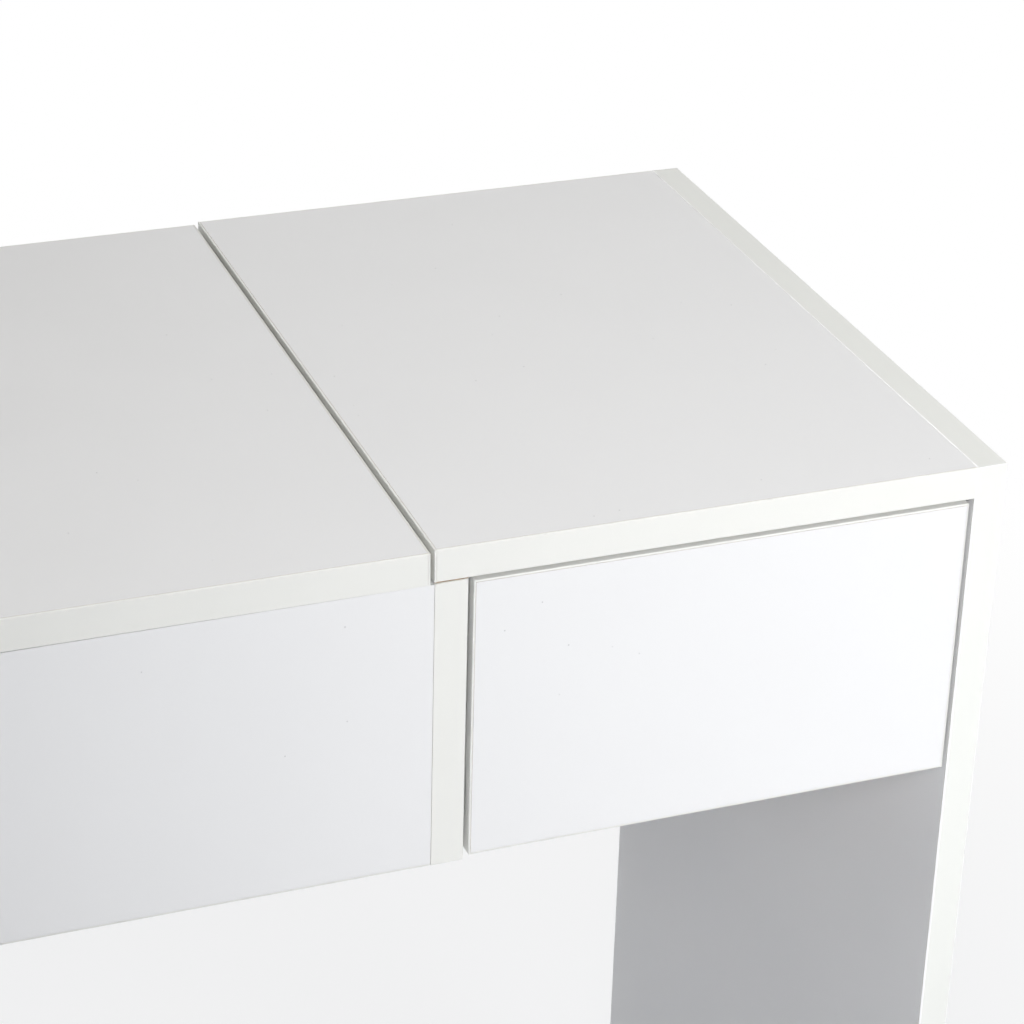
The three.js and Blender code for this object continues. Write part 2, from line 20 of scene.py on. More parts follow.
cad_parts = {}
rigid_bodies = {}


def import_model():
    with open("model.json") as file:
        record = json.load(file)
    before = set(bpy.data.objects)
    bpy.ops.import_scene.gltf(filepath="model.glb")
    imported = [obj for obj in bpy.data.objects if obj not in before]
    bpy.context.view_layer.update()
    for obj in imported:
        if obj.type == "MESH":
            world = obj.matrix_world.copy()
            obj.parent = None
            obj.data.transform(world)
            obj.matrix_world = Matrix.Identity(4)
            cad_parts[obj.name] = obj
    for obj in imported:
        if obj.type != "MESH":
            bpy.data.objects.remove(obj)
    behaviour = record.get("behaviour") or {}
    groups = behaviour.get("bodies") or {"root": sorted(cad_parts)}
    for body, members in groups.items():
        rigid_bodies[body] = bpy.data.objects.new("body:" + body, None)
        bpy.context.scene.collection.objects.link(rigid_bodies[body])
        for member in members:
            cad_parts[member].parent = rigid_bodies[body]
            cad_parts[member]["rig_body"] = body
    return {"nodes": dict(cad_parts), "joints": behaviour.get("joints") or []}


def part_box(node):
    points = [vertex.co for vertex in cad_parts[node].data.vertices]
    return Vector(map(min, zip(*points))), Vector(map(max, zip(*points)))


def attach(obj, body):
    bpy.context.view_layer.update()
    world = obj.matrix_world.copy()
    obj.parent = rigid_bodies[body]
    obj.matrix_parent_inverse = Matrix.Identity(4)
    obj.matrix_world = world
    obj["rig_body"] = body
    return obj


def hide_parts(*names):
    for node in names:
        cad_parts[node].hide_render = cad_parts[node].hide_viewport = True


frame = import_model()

LOG = logging.getLogger("vanity_table")

MM = 0.001
TOLERANCE = 0.001 * MM
Triple = tuple[float, float, float]
Rgb = Triple
Rgba = tuple[float, float, float, float]
Span = tuple[float, float]
Edge = bmesh.types.BMEdge
Face = Union[bmesh.types.BMFace, MeshPolygon]
Test = Callable[[object], bool]
SlotChoice = Callable[[MeshPolygon], int]
SocketValue = Union[float, tuple, NodeSocket]
SocketSpan = tuple[SocketValue, SocketValue]


# ---------------------------------------------------------------- directions and boxes


class Axis(IntEnum):
    """The axes of the table's frame."""

    X = 0
    Y = 1
    Z = 2


class Side(Enum):
    """A direction in the table's frame, as its axis and its sign along it."""

    LEFT = (Axis.X, -1)
    RIGHT = (Axis.X, 1)
    FRONT = (Axis.Y, -1)
    BACK = (Axis.Y, 1)
    BOTTOM = (Axis.Z, -1)
    TOP = (Axis.Z, 1)

    @property
    def axis(self) -> Axis:
        """The axis that this side faces along."""
        return self.value[0]

    @property
    def sign(self) -> int:
        """Which way along its axis the side faces."""
        return self.value[1]

    @property
    def normal(self) -> Vector:
        """The unit vector that points out of this side."""
        return Vector([self.sign if axis == self.axis else 0 for axis in Axis])

    @property
    def opposite(self) -> "Side":
        """The side that faces the other way."""
        return Side((self.axis, -self.sign))


AROUND = tuple(Side)


class Hand(StrEnum):
    """Which of a left and right pair a fitting is, as the node names say it."""

    LEFT = "left"
    RIGHT = "right"

    @property
    def inward(self) -> Side:
        """The side of the fitting that faces its twin."""
        return Side.RIGHT if self is Hand.LEFT else Side.LEFT


@dataclass
class Box:
    """An upright box between its lowest and its highest corner."""

    low: Vector
    high: Vector

    @staticmethod
    def of(node: str) -> "Box":
        """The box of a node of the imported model."""
        low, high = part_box(node)
        return Box(low, high)

    @property
    def middle(self) -> Vector:
        """The box's centre."""
        return (self.low + self.high) / 2

    @property
    def size(self) -> Vector:
        """The box's three side lengths."""
        return self.high - self.low

    def face(self, side: Side) -> float:
        """Where one face of the box lies along its axis."""
        return (self.high if side.sign > 0 else self.low)[side.axis]

    def touches(self, side: Side, point: Vector) -> bool:
        """Whether a point lies level with one face of the box."""
        return abs(point[side.axis] - self.face(side)) < TOLERANCE

    def with_face(self, side: Side, station: float) -> "Box":
        """Moves one face of the box.

        Args:
            side: The face.
            station: Where it goes along its axis.

        Returns:
            The changed box.
        """
        low, high = self.low.copy(), self.high.copy()
        (high if side.sign > 0 else low)[side.axis] = station
        return Box(low, high)

    def trimmed(self, side: Side, depth: float) -> "Box":
        """The same box with one face moved inwards by a depth."""
        return self.with_face(side, self.face(side) - side.sign * depth)

    def slab(self, side: Side, depth: float) -> "Box":
        """The layer of the box that lies within a depth of one of its faces."""
        return self.with_face(side.opposite, self.face(side) - side.sign * depth)


# ---------------------------------------------------------------- the bench: modelling by hand


def clear_selection() -> None:
    """Leaves object mode with nothing selected, because operators act on all that is selected."""
    if bpy.context.mode != "OBJECT":
        bpy.ops.object.mode_set(mode="OBJECT")
    bpy.ops.object.select_all(action="DESELECT")


def make_active(piece: Object) -> None:
    """Selects one piece alone and makes it the one that operators work on.

    Args:
        piece: The piece.
    """
    clear_selection()
    piece.select_set(True)
    bpy.context.view_layer.objects.active = piece


@contextmanager
def editing(piece: Object) -> Iterator[None]:
    """Edit mode on one piece, entered with nothing selected.

    Args:
        piece: The mesh object to work on.

    Yields:
        Nothing; the piece is in edit mode until the block ends.
    """
    make_active(piece)
    bpy.ops.object.mode_set(mode="EDIT")
    bpy.ops.mesh.select_all(action="DESELECT")
    yield
    bpy.ops.object.mode_set(mode="OBJECT")


def pick(kind: str, test: Test) -> int:
    """Selects the parts of the mesh in edit mode that pass a test, and nothing else.

    Args:
        kind: "VERT", "EDGE" or "FACE".
        test: Says whether a vertex, edge or face is wanted.

    Returns:
        How many were selected.
    """
    bpy.ops.mesh.select_mode(type=kind)
    bpy.ops.mesh.select_all(action="DESELECT")
    mesh = bmesh.from_edit_mesh(bpy.context.edit_object.data)
    parts = {"VERT": mesh.verts, "EDGE": mesh.edges, "FACE": mesh.faces}[kind]
    wanted = [part for part in parts if test(part)]
    for part in wanted:
        part.select_set(True)
    mesh.select_flush_mode()
    bmesh.update_edit_mesh(bpy.context.edit_object.data)
    return len(wanted)


def bevel(piece: Object, test: Test, offset: float, segments: int) -> None:
    """Bevels the edges of a piece that pass a test.

    Args:
        piece: The piece.
        test: Says whether an edge is wanted.
        offset: How far from each edge its bevel starts.
        segments: How many faces round it off.
    """
    with editing(piece):
        if pick("EDGE", test):
            bpy.ops.mesh.bevel(offset=offset, segments=segments, affect="EDGES")


def edge_middle(edge: Edge) -> Vector:
    """The point halfway along an edge."""
    return (edge.verts[0].co + edge.verts[1].co) / 2


def edge_reach(edge: Edge) -> Vector:
    """How far an edge reaches along each axis."""
    return Vector([abs(step) for step in edge.verts[0].co - edge.verts[1].co])


SQUARELY = 0.9
ROUGHLY = 0.5


def looks_to(face: Face, side: Side, least: float = SQUARELY) -> bool:
    """Whether a face looks to a side, with more than a least cosine between them."""
    return face.normal.dot(side.normal) > least


def start_box(name: str, box: Box) -> Object:
    """Stretches a cube primitive to a box.

    Args:
        name: The new object's name.
        box: The box.

    Returns:
        The box as an object, its place in its mesh.
    """
    clear_selection()
    bpy.ops.mesh.primitive_cube_add(size=1, location=box.middle, scale=box.size)
    piece = bpy.context.object
    piece.name = name
    bpy.ops.object.transform_apply(location=True, rotation=True, scale=True)
    return piece


def turn_profile(name: str, profile: Sequence[Span], sides: int = 32) -> Object:
    """Turns a solid about +Z from the origin: a disc that is extruded and resized step by step.

    Args:
        name: The new object's name.
        profile: (radius, station) pairs from one end to the other, no radius zero.
        sides: How many sides the disc has.

    Returns:
        The turned solid, closed at both ends.
    """
    clear_selection()
    first_radius, first_station = profile[0]
    bpy.ops.mesh.primitive_circle_add(
        vertices=sides, radius=first_radius, fill_type="NGON", location=(0, 0, first_station)
    )
    piece = bpy.context.object
    piece.name = name
    bpy.ops.object.transform_apply(location=True, rotation=True, scale=True)
    with editing(piece):
        bpy.ops.mesh.select_all(action="SELECT")
        for (radius, station), (next_radius, next_station) in zip(profile, profile[1:]):
            rise = (0, 0, next_station - station)
            bpy.ops.mesh.extrude_region_move(TRANSFORM_OT_translate={"value": rise})
            share = next_radius / radius
            if share != 1:
                bpy.ops.transform.resize(
                    value=(share, share, 1), center_override=(0, 0, next_station)
                )
    return piece


def far_end(near_end: Sequence[Span], length: float) -> list[Span]:
    """The profile of a turned piece's far end, as the mirror of its near end."""
    return [(radius, length - station) for radius, station in reversed(near_end)]


def fold_sheet(name: str, path: Sequence[Span], span: Span, bend: float) -> Object:
    """Folds a strip of sheet along Y: one edge of a plane is extruded from fold to fold.

    Args:
        name: The new object's name.
        path: The (x, z) points of its cross section, along the middle of the sheet.
        span: Where it starts and ends along Y.
        bend: How far from each fold its rounding starts.

    Returns:
        The folded strip, still without thickness.
    """
    clear_selection()
    bpy.ops.mesh.primitive_plane_add(size=1)
    strip = bpy.context.object
    strip.name = name
    (start, end), (first_x, first_z) = span, path[0]
    with editing(strip):
        pick("VERT", lambda vertex: vertex.co.x > 0)
        bpy.ops.mesh.delete(type="VERT")
        bpy.ops.mesh.select_all(action="SELECT")
        bpy.ops.transform.resize(value=(1, end - start, 1), center_override=(0, 0, 0))
        bpy.ops.transform.translate(value=(first_x + 0.5, (start + end) / 2, first_z))
        for (x, z), (next_x, next_z) in zip(path, path[1:]):
            step = (next_x - x, 0, next_z - z)
            bpy.ops.mesh.extrude_region_move(TRANSFORM_OT_translate={"value": step})
    bevel(strip, lambda edge: len(edge.link_faces) == 2, bend, segments=4)
    return strip


AXIS_TURNS = {
    Side.TOP: Matrix.Identity(4),
    Side.BOTTOM: Matrix.Rotation(math.pi, 4, "X"),
    Side.BACK: Matrix.Rotation(-math.pi / 2, 4, "X"),
    Side.FRONT: Matrix.Rotation(math.pi / 2, 4, "X"),
    Side.RIGHT: Matrix.Rotation(math.pi / 2, 4, "Y"),
    Side.LEFT: Matrix.Rotation(-math.pi / 2, 4, "Y"),
}


def place(piece: Object, origin: Vector, towards: Side = Side.TOP) -> Object:
    """Turns a piece modelled at the origin so that its +Z points to a side, and moves it to a point."""
    piece.data.transform(Matrix.Translation(origin) @ AXIS_TURNS[towards])
    return piece


def duplicate(piece: Object, name: str) -> Object:
    """Copies a piece.

    Args:
        piece: The piece.
        name: The copy's name.

    Returns:
        The copy, with its own mesh.
    """
    twin = piece.copy()
    twin.data = piece.data.copy()
    twin.name = name
    bpy.context.scene.collection.objects.link(twin)
    return twin


def combine(piece: Object, others: Iterable[Object], operation: str) -> Object:
    """Joins or cuts a piece with others by boolean modifiers, which are applied.

    Args:
        piece: The piece that stays.
        others: The solids to join or cut with, which are used up.
        operation: "UNION" or "DIFFERENCE".

    Returns:
        The same piece.
    """
    for other in others:
        apply_modifier(piece, "BOOLEAN", operation=operation, object=other, solver="EXACT")
        bpy.data.objects.remove(other)
    return piece


def join(name: str, pieces: Sequence[Object]) -> Object:
    """Puts several shells into one object.

    Args:
        name: The joined object's name.
        pieces: The objects, the first of which stays.

    Returns:
        The joined object.
    """
    make_active(pieces[0])
    for piece in pieces[1:]:
        piece.select_set(True)
    if len(pieces) > 1:
        bpy.ops.object.join()
    pieces[0].name = name
    return pieces[0]


def apply_modifier(piece: Object, kind: str, **settings: object) -> None:
    """Adds a modifier with its settings and applies it.

    Args:
        piece: The piece to change.
        kind: The modifier's type.
        settings: Its settings by name.
    """
    modifier = piece.modifiers.new("bench", kind)
    for name, value in settings.items():
        setattr(modifier, name, value)
    make_active(piece)
    bpy.ops.object.modifier_apply(modifier=modifier.name)


def face_outwards(piece: Object) -> None:
    """Points all faces of a closed piece outwards.

    Args:
        piece: The piece.
    """
    with editing(piece):
        bpy.ops.mesh.select_all(action="SELECT")
        bpy.ops.mesh.normals_make_consistent(inside=False)


def smooth(piece: Object, degrees: float = 40) -> None:
    """Points the faces outwards and smooths all but the sharp edges.

    Args:
        piece: The piece to finish.
        degrees: Edges that turn more than this stay sharp.
    """
    face_outwards(piece)
    make_active(piece)
    bpy.ops.object.shade_smooth_by_angle(angle=math.radians(degrees))
    apply_modifier(piece, "WEIGHTED_NORMAL", mode="FACE_AREA", keep_sharp=True)


EDGE_MARK = "eased"
SQUARE = 0.999


def mark_eased_faces(piece: Object) -> None:
    """Marks the faces that were eased off an upright box, for the finishes to wear, and on the side panels'
    bands to lighten as a painted highlight.

    Args:
        piece: The piece, not yet turned out of its box.
    """
    mark = piece.data.attributes.new(EDGE_MARK, "FLOAT", "FACE")
    values = [float(max(map(abs, face.normal)) < SQUARE) for face in piece.data.polygons]
    mark.data.foreach_set("value", values)


# ---------------------------------------------------------------- node graphs


class Graph:
    """A shader node tree, with short calls that add nodes and join them."""

    def __init__(self, tree: NodeTree) -> None:
        """Wraps a tree."""
        self.tree = tree

    def add(
        self, kind: str, inputs: dict[Union[str, int], SocketValue] | None = None, **properties: object
    ) -> Node:
        """Adds a node.

        Args:
            kind: The node's type, less its ShaderNode prefix.
            inputs: A value or an output socket for each input, by name or number.
            properties: The node's own settings.

        Returns:
            The node.
        """
        node = self.tree.nodes.new("ShaderNode" + kind)
        for name, value in properties.items():
            setattr(node, name, value)
        for name, value in (inputs or {}).items():
            self.set(node.inputs[name], value)
        return node

    def set(self, socket: NodeSocket, value: SocketValue) -> None:
        """Gives an input a value, or joins it to an output.

        Args:
            socket: The input.
            value: The value or the output.
        """
        if isinstance(value, NodeSocket):
            self.tree.links.new(value, socket)
        else:
            socket.default_value = value

    def object_point(self) -> NodeSocket:
        """The shaded point in the object's own coordinates, in metres."""
        return self.add("TexCoord").outputs["Object"]

    def eased_edge(self) -> NodeSocket:
        """1 on the faces that were eased off a piece's edges, 0 elsewhere."""
        return self.add("Attribute", attribute_name=EDGE_MARK).outputs["Fac"]

    def noise(
        self, point: NodeSocket, scale: SocketValue, detail: float = 2, roughness: float = 0.5
    ) -> NodeSocket:
        """Smooth noise from 0 to 1, with its features per metre and its finer layers' count and strength."""
        inputs = {"Vector": point, "Scale": scale, "Detail": detail, "Roughness": roughness}
        return self.add("TexNoise", inputs).outputs[0]

    def cells(self, scale: SocketValue) -> Node:
        """A loose cell pattern with this many cells per metre."""
        return self.add("TexVoronoi", {"Vector": self.object_point(), "Scale": scale})

    def cell_tone(self, cells: Node) -> NodeSocket:
        """One random value from 0 to 1 for each cell of a pattern."""
        return self.add("SeparateColor", {0: cells.outputs["Color"]}).outputs[0]

    def math(self, operation: str, *values: SocketValue) -> NodeSocket:
        """Works out one value from others."""
        return self.add("Math", dict(enumerate(values)), operation=operation).outputs[0]

    def remap(
        self, value: NodeSocket, source: SocketSpan, target: Span, eased: bool = False
    ) -> NodeSocket:
        """Maps a value from one range to another, held at its ends.

        Args:
            value: The value to map.
            source: The range it comes from.
            target: The range it goes to.
            eased: Whether it starts and ends gently.

        Returns:
            The mapped value.
        """
        names = ("Value", "From Min", "From Max", "To Min", "To Max")
        inputs = dict(zip(names, (value, *source, *target)))
        style = "SMOOTHSTEP" if eased else "LINEAR"
        return self.add("MapRange", inputs, interpolation_type=style).outputs[0]

    def swing(self, mask: NodeSocket, middle: float, below: float, above: float) -> NodeSocket:
        """A value that a mask swings from a little below its middle to a little above it."""
        return self.remap(mask, (0, 1), (middle - below, middle + above))

    def mix(
        self, share: SocketValue, under: SocketValue, over: SocketValue, blend: str = "MIX"
    ) -> NodeSocket:
        """Blends two colours, of which the second one shows by a share."""
        inputs = {0: share, 6: under, 7: over}
        return self.add("Mix", inputs, data_type="RGBA", blend_type=blend).outputs[2]

    def bump(self, height: NodeSocket, distance: float, strength: float = 1.0) -> NodeSocket:
        """The normal of a surface that a height raises by up to a distance."""
        inputs = {"Height": height, "Distance": distance, "Strength": strength}
        return self.add("Bump", inputs).outputs[0]


class GroupSocket(Enum):
    """The kinds of socket that a node group has."""

    VALUE = "NodeSocketFloat"
    COLOUR = "NodeSocketColor"
    VECTOR = "NodeSocketVector"


@dataclass(frozen=True)
class Effect:
    """A shader node group that several finishes share, built the first time it is used."""

    name: str
    inputs: dict[str, GroupSocket]
    outputs: dict[str, GroupSocket]
    fill: Callable[[Graph, Node, Node], None]

    def tree(self) -> NodeTree:
        """Builds the group, or finds it again.

        Returns:
            The group's node tree.
        """
        if self.name in bpy.data.node_groups:
            return bpy.data.node_groups[self.name]
        tree = bpy.data.node_groups.new(self.name, "ShaderNodeTree")
        for direction, sockets in (("INPUT", self.inputs), ("OUTPUT", self.outputs)):
            for name, kind in sockets.items():
                tree.interface.new_socket(name, in_out=direction, socket_type=kind.value)
        source = tree.nodes.new("NodeGroupInput")
        result = tree.nodes.new("NodeGroupOutput")
        self.fill(Graph(tree), source, result)
        return tree

    def place(self, graph: Graph, **inputs: SocketValue) -> Node:
        """Puts the group into a material.

        Args:
            graph: The material's graph.
            inputs: The group's inputs by name.

        Returns:
            The group's node.
        """
        node = graph.tree.nodes.new("ShaderNodeGroup")
        node.node_tree = self.tree()
        for name, value in inputs.items():
            graph.set(node.inputs[name], value)
        return node


def fill_grain(graph: Graph, source: Node, result: Node) -> None:
    """Fine grain: two layers of noise, one a third of the other's size, and a slow drift.

    Args:
        graph: The group's graph.
        source: The group's inputs.
        result: The group's outputs.
    """
    point = graph.object_point()
    coarse = graph.noise(point, source.outputs["Scale"], detail=3, roughness=0.6)
    finer_scale = graph.math("MULTIPLY", source.outputs["Scale"], 3.1)
    finer = graph.noise(point, finer_scale, detail=1)
    slow_scale = graph.math("MULTIPLY", source.outputs["Scale"], 0.013)
    slow = graph.noise(point, slow_scale, detail=4, roughness=0.55)
    graph.set(result.inputs["Height"], graph.math("MULTIPLY_ADD", finer, 0.35, coarse))
    graph.set(result.inputs["Drift"], graph.remap(slow, (0.3, 0.7), (0, 1), eased=True))


def fill_tint(graph: Graph, source: Node, result: Node) -> None:
    """Uneven tone: the colour swings a little lighter and darker in broad soft patches.

    Args:
        graph: The group's graph.
        source: The group's inputs.
        result: The group's outputs.
    """
    broad = graph.noise(graph.object_point(), source.outputs["Scale"], detail=3)
    swing = graph.math("SUBTRACT", broad, 0.5)
    factor = graph.math("MULTIPLY_ADD", swing, source.outputs["Amount"], 1.0)
    tone = graph.add("CombineColor", {0: factor, 1: factor, 2: factor}).outputs[0]
    colour = graph.mix(1.0, source.outputs["Colour"], tone, "MULTIPLY")
    graph.set(result.inputs["Colour"], colour)


def fill_specks(graph: Graph, source: Node, result: Node) -> None:
    """Sparse specks: a small dot at a few of the cells of a loose cell pattern.

    Args:
        graph: The group's graph.
        source: The group's inputs.
        result: The group's outputs.
    """
    cells = graph.cells(source.outputs["Scale"])
    dot = graph.math("LESS_THAN", cells.outputs["Distance"], source.outputs["Size"])
    chosen = graph.math("LESS_THAN", graph.cell_tone(cells), source.outputs["Share"])
    graph.set(result.inputs["Mask"], graph.math("MULTIPLY", dot, chosen))


def fill_wear(graph: Graph, source: Node, result: Node) -> None:
    """Edge wear, and on the side panels' bands a painted highlight: broken patches along the faces that were
    eased off the edges.

    Args:
        graph: The group's graph.
        source: The group's inputs.
        result: The group's outputs.
    """
    patches = graph.noise(graph.object_point(), source.outputs["Scale"], detail=5, roughness=0.65)
    level = graph.math("SUBTRACT", 1.0, source.outputs["Amount"])
    upper = graph.math("ADD", level, 0.12)
    broken = graph.remap(patches, (level, upper), (0, 1))
    graph.set(result.inputs["Mask"], graph.math("MULTIPLY", broken, source.outputs["Edge"]))


def fill_streaks(graph: Graph, source: Node, result: Node) -> None:
    """Drawn streaks: noise stretched along one direction.

    Args:
        graph: The group's graph.
        source: The group's inputs.
        result: The group's outputs.
    """
    inputs = {"Vector": graph.object_point(), "Scale": source.outputs["Stretch"]}
    stretched = graph.add("Mapping", inputs, vector_type="POINT").outputs[0]
    streaks = graph.noise(stretched, 1.0, detail=4, roughness=0.7)
    graph.set(result.inputs["Height"], streaks)


VALUE, COLOUR, VECTOR = GroupSocket.VALUE, GroupSocket.COLOUR, GroupSocket.VECTOR
GRAIN = Effect("grain", {"Scale": VALUE}, {"Height": VALUE, "Drift": VALUE}, fill_grain)
TINT = Effect(
    "uneven_tone", {"Colour": COLOUR, "Amount": VALUE, "Scale": VALUE}, {"Colour": COLOUR}, fill_tint
)
SPECKS = Effect(
    "specks", {"Scale": VALUE, "Size": VALUE, "Share": VALUE}, {"Mask": VALUE}, fill_specks
)
WEAR_AND_HIGHLIGHT = Effect("edge_wear", {"Edge": VALUE, "Amount": VALUE, "Scale": VALUE}, {"Mask": VALUE}, fill_wear)
STREAKS = Effect("streaks", {"Stretch": VECTOR}, {"Height": VALUE}, fill_streaks)


# ---------------------------------------------------------------- finishes


def start_material(name: str) -> tuple[Material, Graph, Node]:
    """Starts a material.

    Args:
        name: Its name.

    Returns:
        The material, its graph and its Principled BSDF.
    """
    material = bpy.data.materials.new(name)
    material.use_nodes = True
    tree = material.node_tree
    return material, Graph(tree), tree.nodes["Principled BSDF"]


@dataclass(frozen=True)
class Surface:
    """What a finish gives its shader: outputs that change over the piece, and plain numbers."""

    colour: SocketValue
    roughness: SocketValue
    normal: NodeSocket
    metallic: float = 0.0
    transmission: float = 0.0


@dataclass(frozen=True)
class Finish:
    """What every finish has: a name and a base colour, and a material made once."""

    name: str
    colour: Rgb

    def material(self) -> Material:
        """Makes the finish's material, or finds it again.

        Returns:
            The material.
        """
        if self.name in bpy.data.materials:
            return bpy.data.materials[self.name]
        material, graph, shader = start_material(self.name)
        surface = self.surface(graph)
        values = {
            "Base Color": surface.colour,
            "Roughness": surface.roughness,
            "Normal": surface.normal,
            "Metallic": surface.metallic,
            "Transmission Weight": surface.transmission,
        }
        for name, value in values.items():
            graph.set(shader.inputs[name], value)
        return material

    def surface(self, graph: Graph) -> Surface:
        """Makes the nodes of the finish's surface."""
        raise NotImplementedError

    def shades(self, amount: float) -> Rgba:
        """The base colour made darker or lighter by a factor."""
        return (*(min(1.0, part * amount) for part in self.colour), 1.0)

    def tinted(self, graph: Graph, amount: float, scale: float) -> NodeSocket:
        """The base colour in slightly uneven tone."""
        return TINT.place(graph, Colour=(*self.colour, 1.0), Amount=amount, Scale=scale).outputs[0]

    def worn(
        self, graph: Graph, colour: NodeSocket, amount: float, scale: float, shade: float
    ) -> NodeSocket:
        """Wears a colour along the eased edges, in patches that are a shade of the base colour; on the side
        panels' bands the lighter patches are a painted highlight.
        """
        mask = WEAR_AND_HIGHLIGHT.place(graph, Edge=graph.eased_edge(), Amount=amount, Scale=scale).outputs[0]
        return graph.mix(mask, colour, self.shades(shade))


@dataclass(frozen=True)
class Skin(Finish):
    """A plastic skin: fine grain, slightly uneven tone, specks if it has any, worn along its edges, and on
    the side panels' bands lightened there as a painted highlight.
    """

    roughness: float = 0.4
    smoother: float = 0.06
    rougher: float = 0.08
    grain: float = 2200.0
    grain_height: float = 0.05 * MM
    grain_strength: float = 0.3
    unevenness: float = 0.07
    patches: float = 160.0
    specks: float = 75.0
    speck_size: float = 0.03
    speck_share: float = 0.0
    speck_shade: float = 0.72
    wear: float = 0.45
    wear_patches: float = 500.0
    # Below 1 darkens the worn edges; on the side panels' bands it lightens the rims as a painted highlight.
    wear_shade: float = 0.85
    clarity: float = 0.0

    def surface(self, graph: Graph) -> Surface:
        """Makes the nodes of the skin's surface.

        Args:
            graph: The material's graph.

        Returns:
            What the shader takes from them.
        """
        grain = GRAIN.place(graph, Scale=self.grain)
        colour = self.tinted(graph, self.unevenness, self.patches)
        if self.speck_share:
            sizes = {"Scale": self.specks, "Size": self.speck_size, "Share": self.speck_share}
            dots = SPECKS.place(graph, **sizes).outputs[0]
            colour = graph.mix(dots, colour, self.shades(self.speck_shade))
        colour = self.worn(graph, colour, self.wear, self.wear_patches, self.wear_shade)
        roughness = graph.swing(grain.outputs["Drift"], self.roughness, self.smoother, self.rougher)
        normal = graph.bump(grain.outputs["Height"], self.grain_height, self.grain_strength)
        return Surface(colour, roughness, normal, transmission=self.clarity)


@dataclass(frozen=True)
class Laminate(Skin):
    """Satin melamine: a faint pebbled skin, a few specks, slightly rubbed edges."""

    roughness: float = 0.42
    smoother: float = 0.04
    rougher: float = 0.05
    grain: float = 1500.0
    grain_height: float = 0.12 * MM
    grain_strength: float = 0.25
    unevenness: float = 0.02
    patches: float = 9.0
    speck_share: float = 0.5
    wear: float = 0.38
    wear_patches: float = 130.0
    wear_shade: float = 0.9


@dataclass(frozen=True)
class EdgeBand(Skin):
    """Plastic edge banding: smoother and warmer than the laminate, scraped flush at its corners; on the side
    panels its eased rims carry a painted highlight.
    """

    roughness: float = 0.34
    smoother: float = 0.05
    rougher: float = 0.06
    grain: float = 620.0
    grain_height: float = 0.08 * MM
    grain_strength: float = 0.2
    unevenness: float = 0.03
    patches: float = 24.0
    wear: float = 0.42
    wear_patches: float = 210.0
    wear_shade: float = 0.88


@dataclass(frozen=True)
class Moulded(Skin):
    """Moulded plastic or rubber: a fine matt skin, slightly clouded, scuffed at its edges."""


@dataclass(frozen=True)
class Chipboard(Finish):
    """Raw particle board: pressed chips of mixed brown, rough where it was sawn."""

    roughness: float = 0.9
    chips: float = 620.0
    chip_height: float = 0.4 * MM

    def surface(self, graph: Graph) -> Surface:
        """Makes the nodes of the chipboard's surface.

        Args:
            graph: The material's graph.

        Returns:
            What the shader takes from them.
        """
        tone = graph.cell_tone(graph.cells(self.chips))
        colour = graph.mix(tone, self.shades(0.6), self.shades(1.25))
        grain = GRAIN.place(graph, Scale=900.0)
        height = graph.math("MULTIPLY_ADD", tone, 0.6, grain.outputs["Height"])
        return Surface(colour, self.roughness, graph.bump(height, self.chip_height))


@dataclass(frozen=True)
class Metal(Finish):
    """Bare or plated metal: drawn streaks, dull patches, edges rubbed brighter."""

    roughness: float = 0.3
    streaks: Triple = (60.0, 2400.0, 2400.0)
    streak_height: float = 0.03 * MM
    patchiness: float = 0.12

    def surface(self, graph: Graph) -> Surface:
        """Makes the nodes of the metal's surface.

        Args:
            graph: The material's graph.

        Returns:
            What the shader takes from them.
        """
        drawn = STREAKS.place(graph, Stretch=self.streaks).outputs[0]
        grain = GRAIN.place(graph, Scale=2600.0)
        tinted = self.tinted(graph, amount=self.patchiness, scale=90.0)
        colour = self.worn(graph, tinted, amount=0.55, scale=420.0, shade=1.2)
        dull = graph.swing(grain.outputs["Drift"], self.roughness, below=0.05, above=0.08)
        scored = graph.math("MULTIPLY_ADD", drawn, 0.12, dull)
        height = graph.math("MULTIPLY_ADD", grain.outputs["Height"], 0.4, drawn)
        normal = graph.bump(height, self.streak_height, strength=0.3)
        return Surface(colour, scored, normal, metallic=1.0)


@dataclass(frozen=True)
class Galvanised(Finish):
    """Galvanised sheet: faint spangles that differ in tone and in gloss."""

    spangle: float = 240.0
    gloss: Span = (0.28, 0.44)
    skin_height: float = 0.04 * MM

    def surface(self, graph: Graph) -> Surface:
        """Makes the nodes of the galvanised sheet's surface.

        Args:
            graph: The material's graph.

        Returns:
            What the shader takes from them.
        """
        tone = graph.cell_tone(graph.cells(self.spangle))
        spangled = graph.mix(tone, self.shades(0.88), self.shades(1.08))
        colour = self.worn(graph, spangled, amount=0.5, scale=300.0, shade=1.2)
        grain = GRAIN.place(graph, Scale=1800.0)
        normal = graph.bump(grain.outputs["Height"], self.skin_height, strength=0.3)
        return Surface(colour, graph.remap(tone, (0, 1), self.gloss), normal, metallic=1.0)


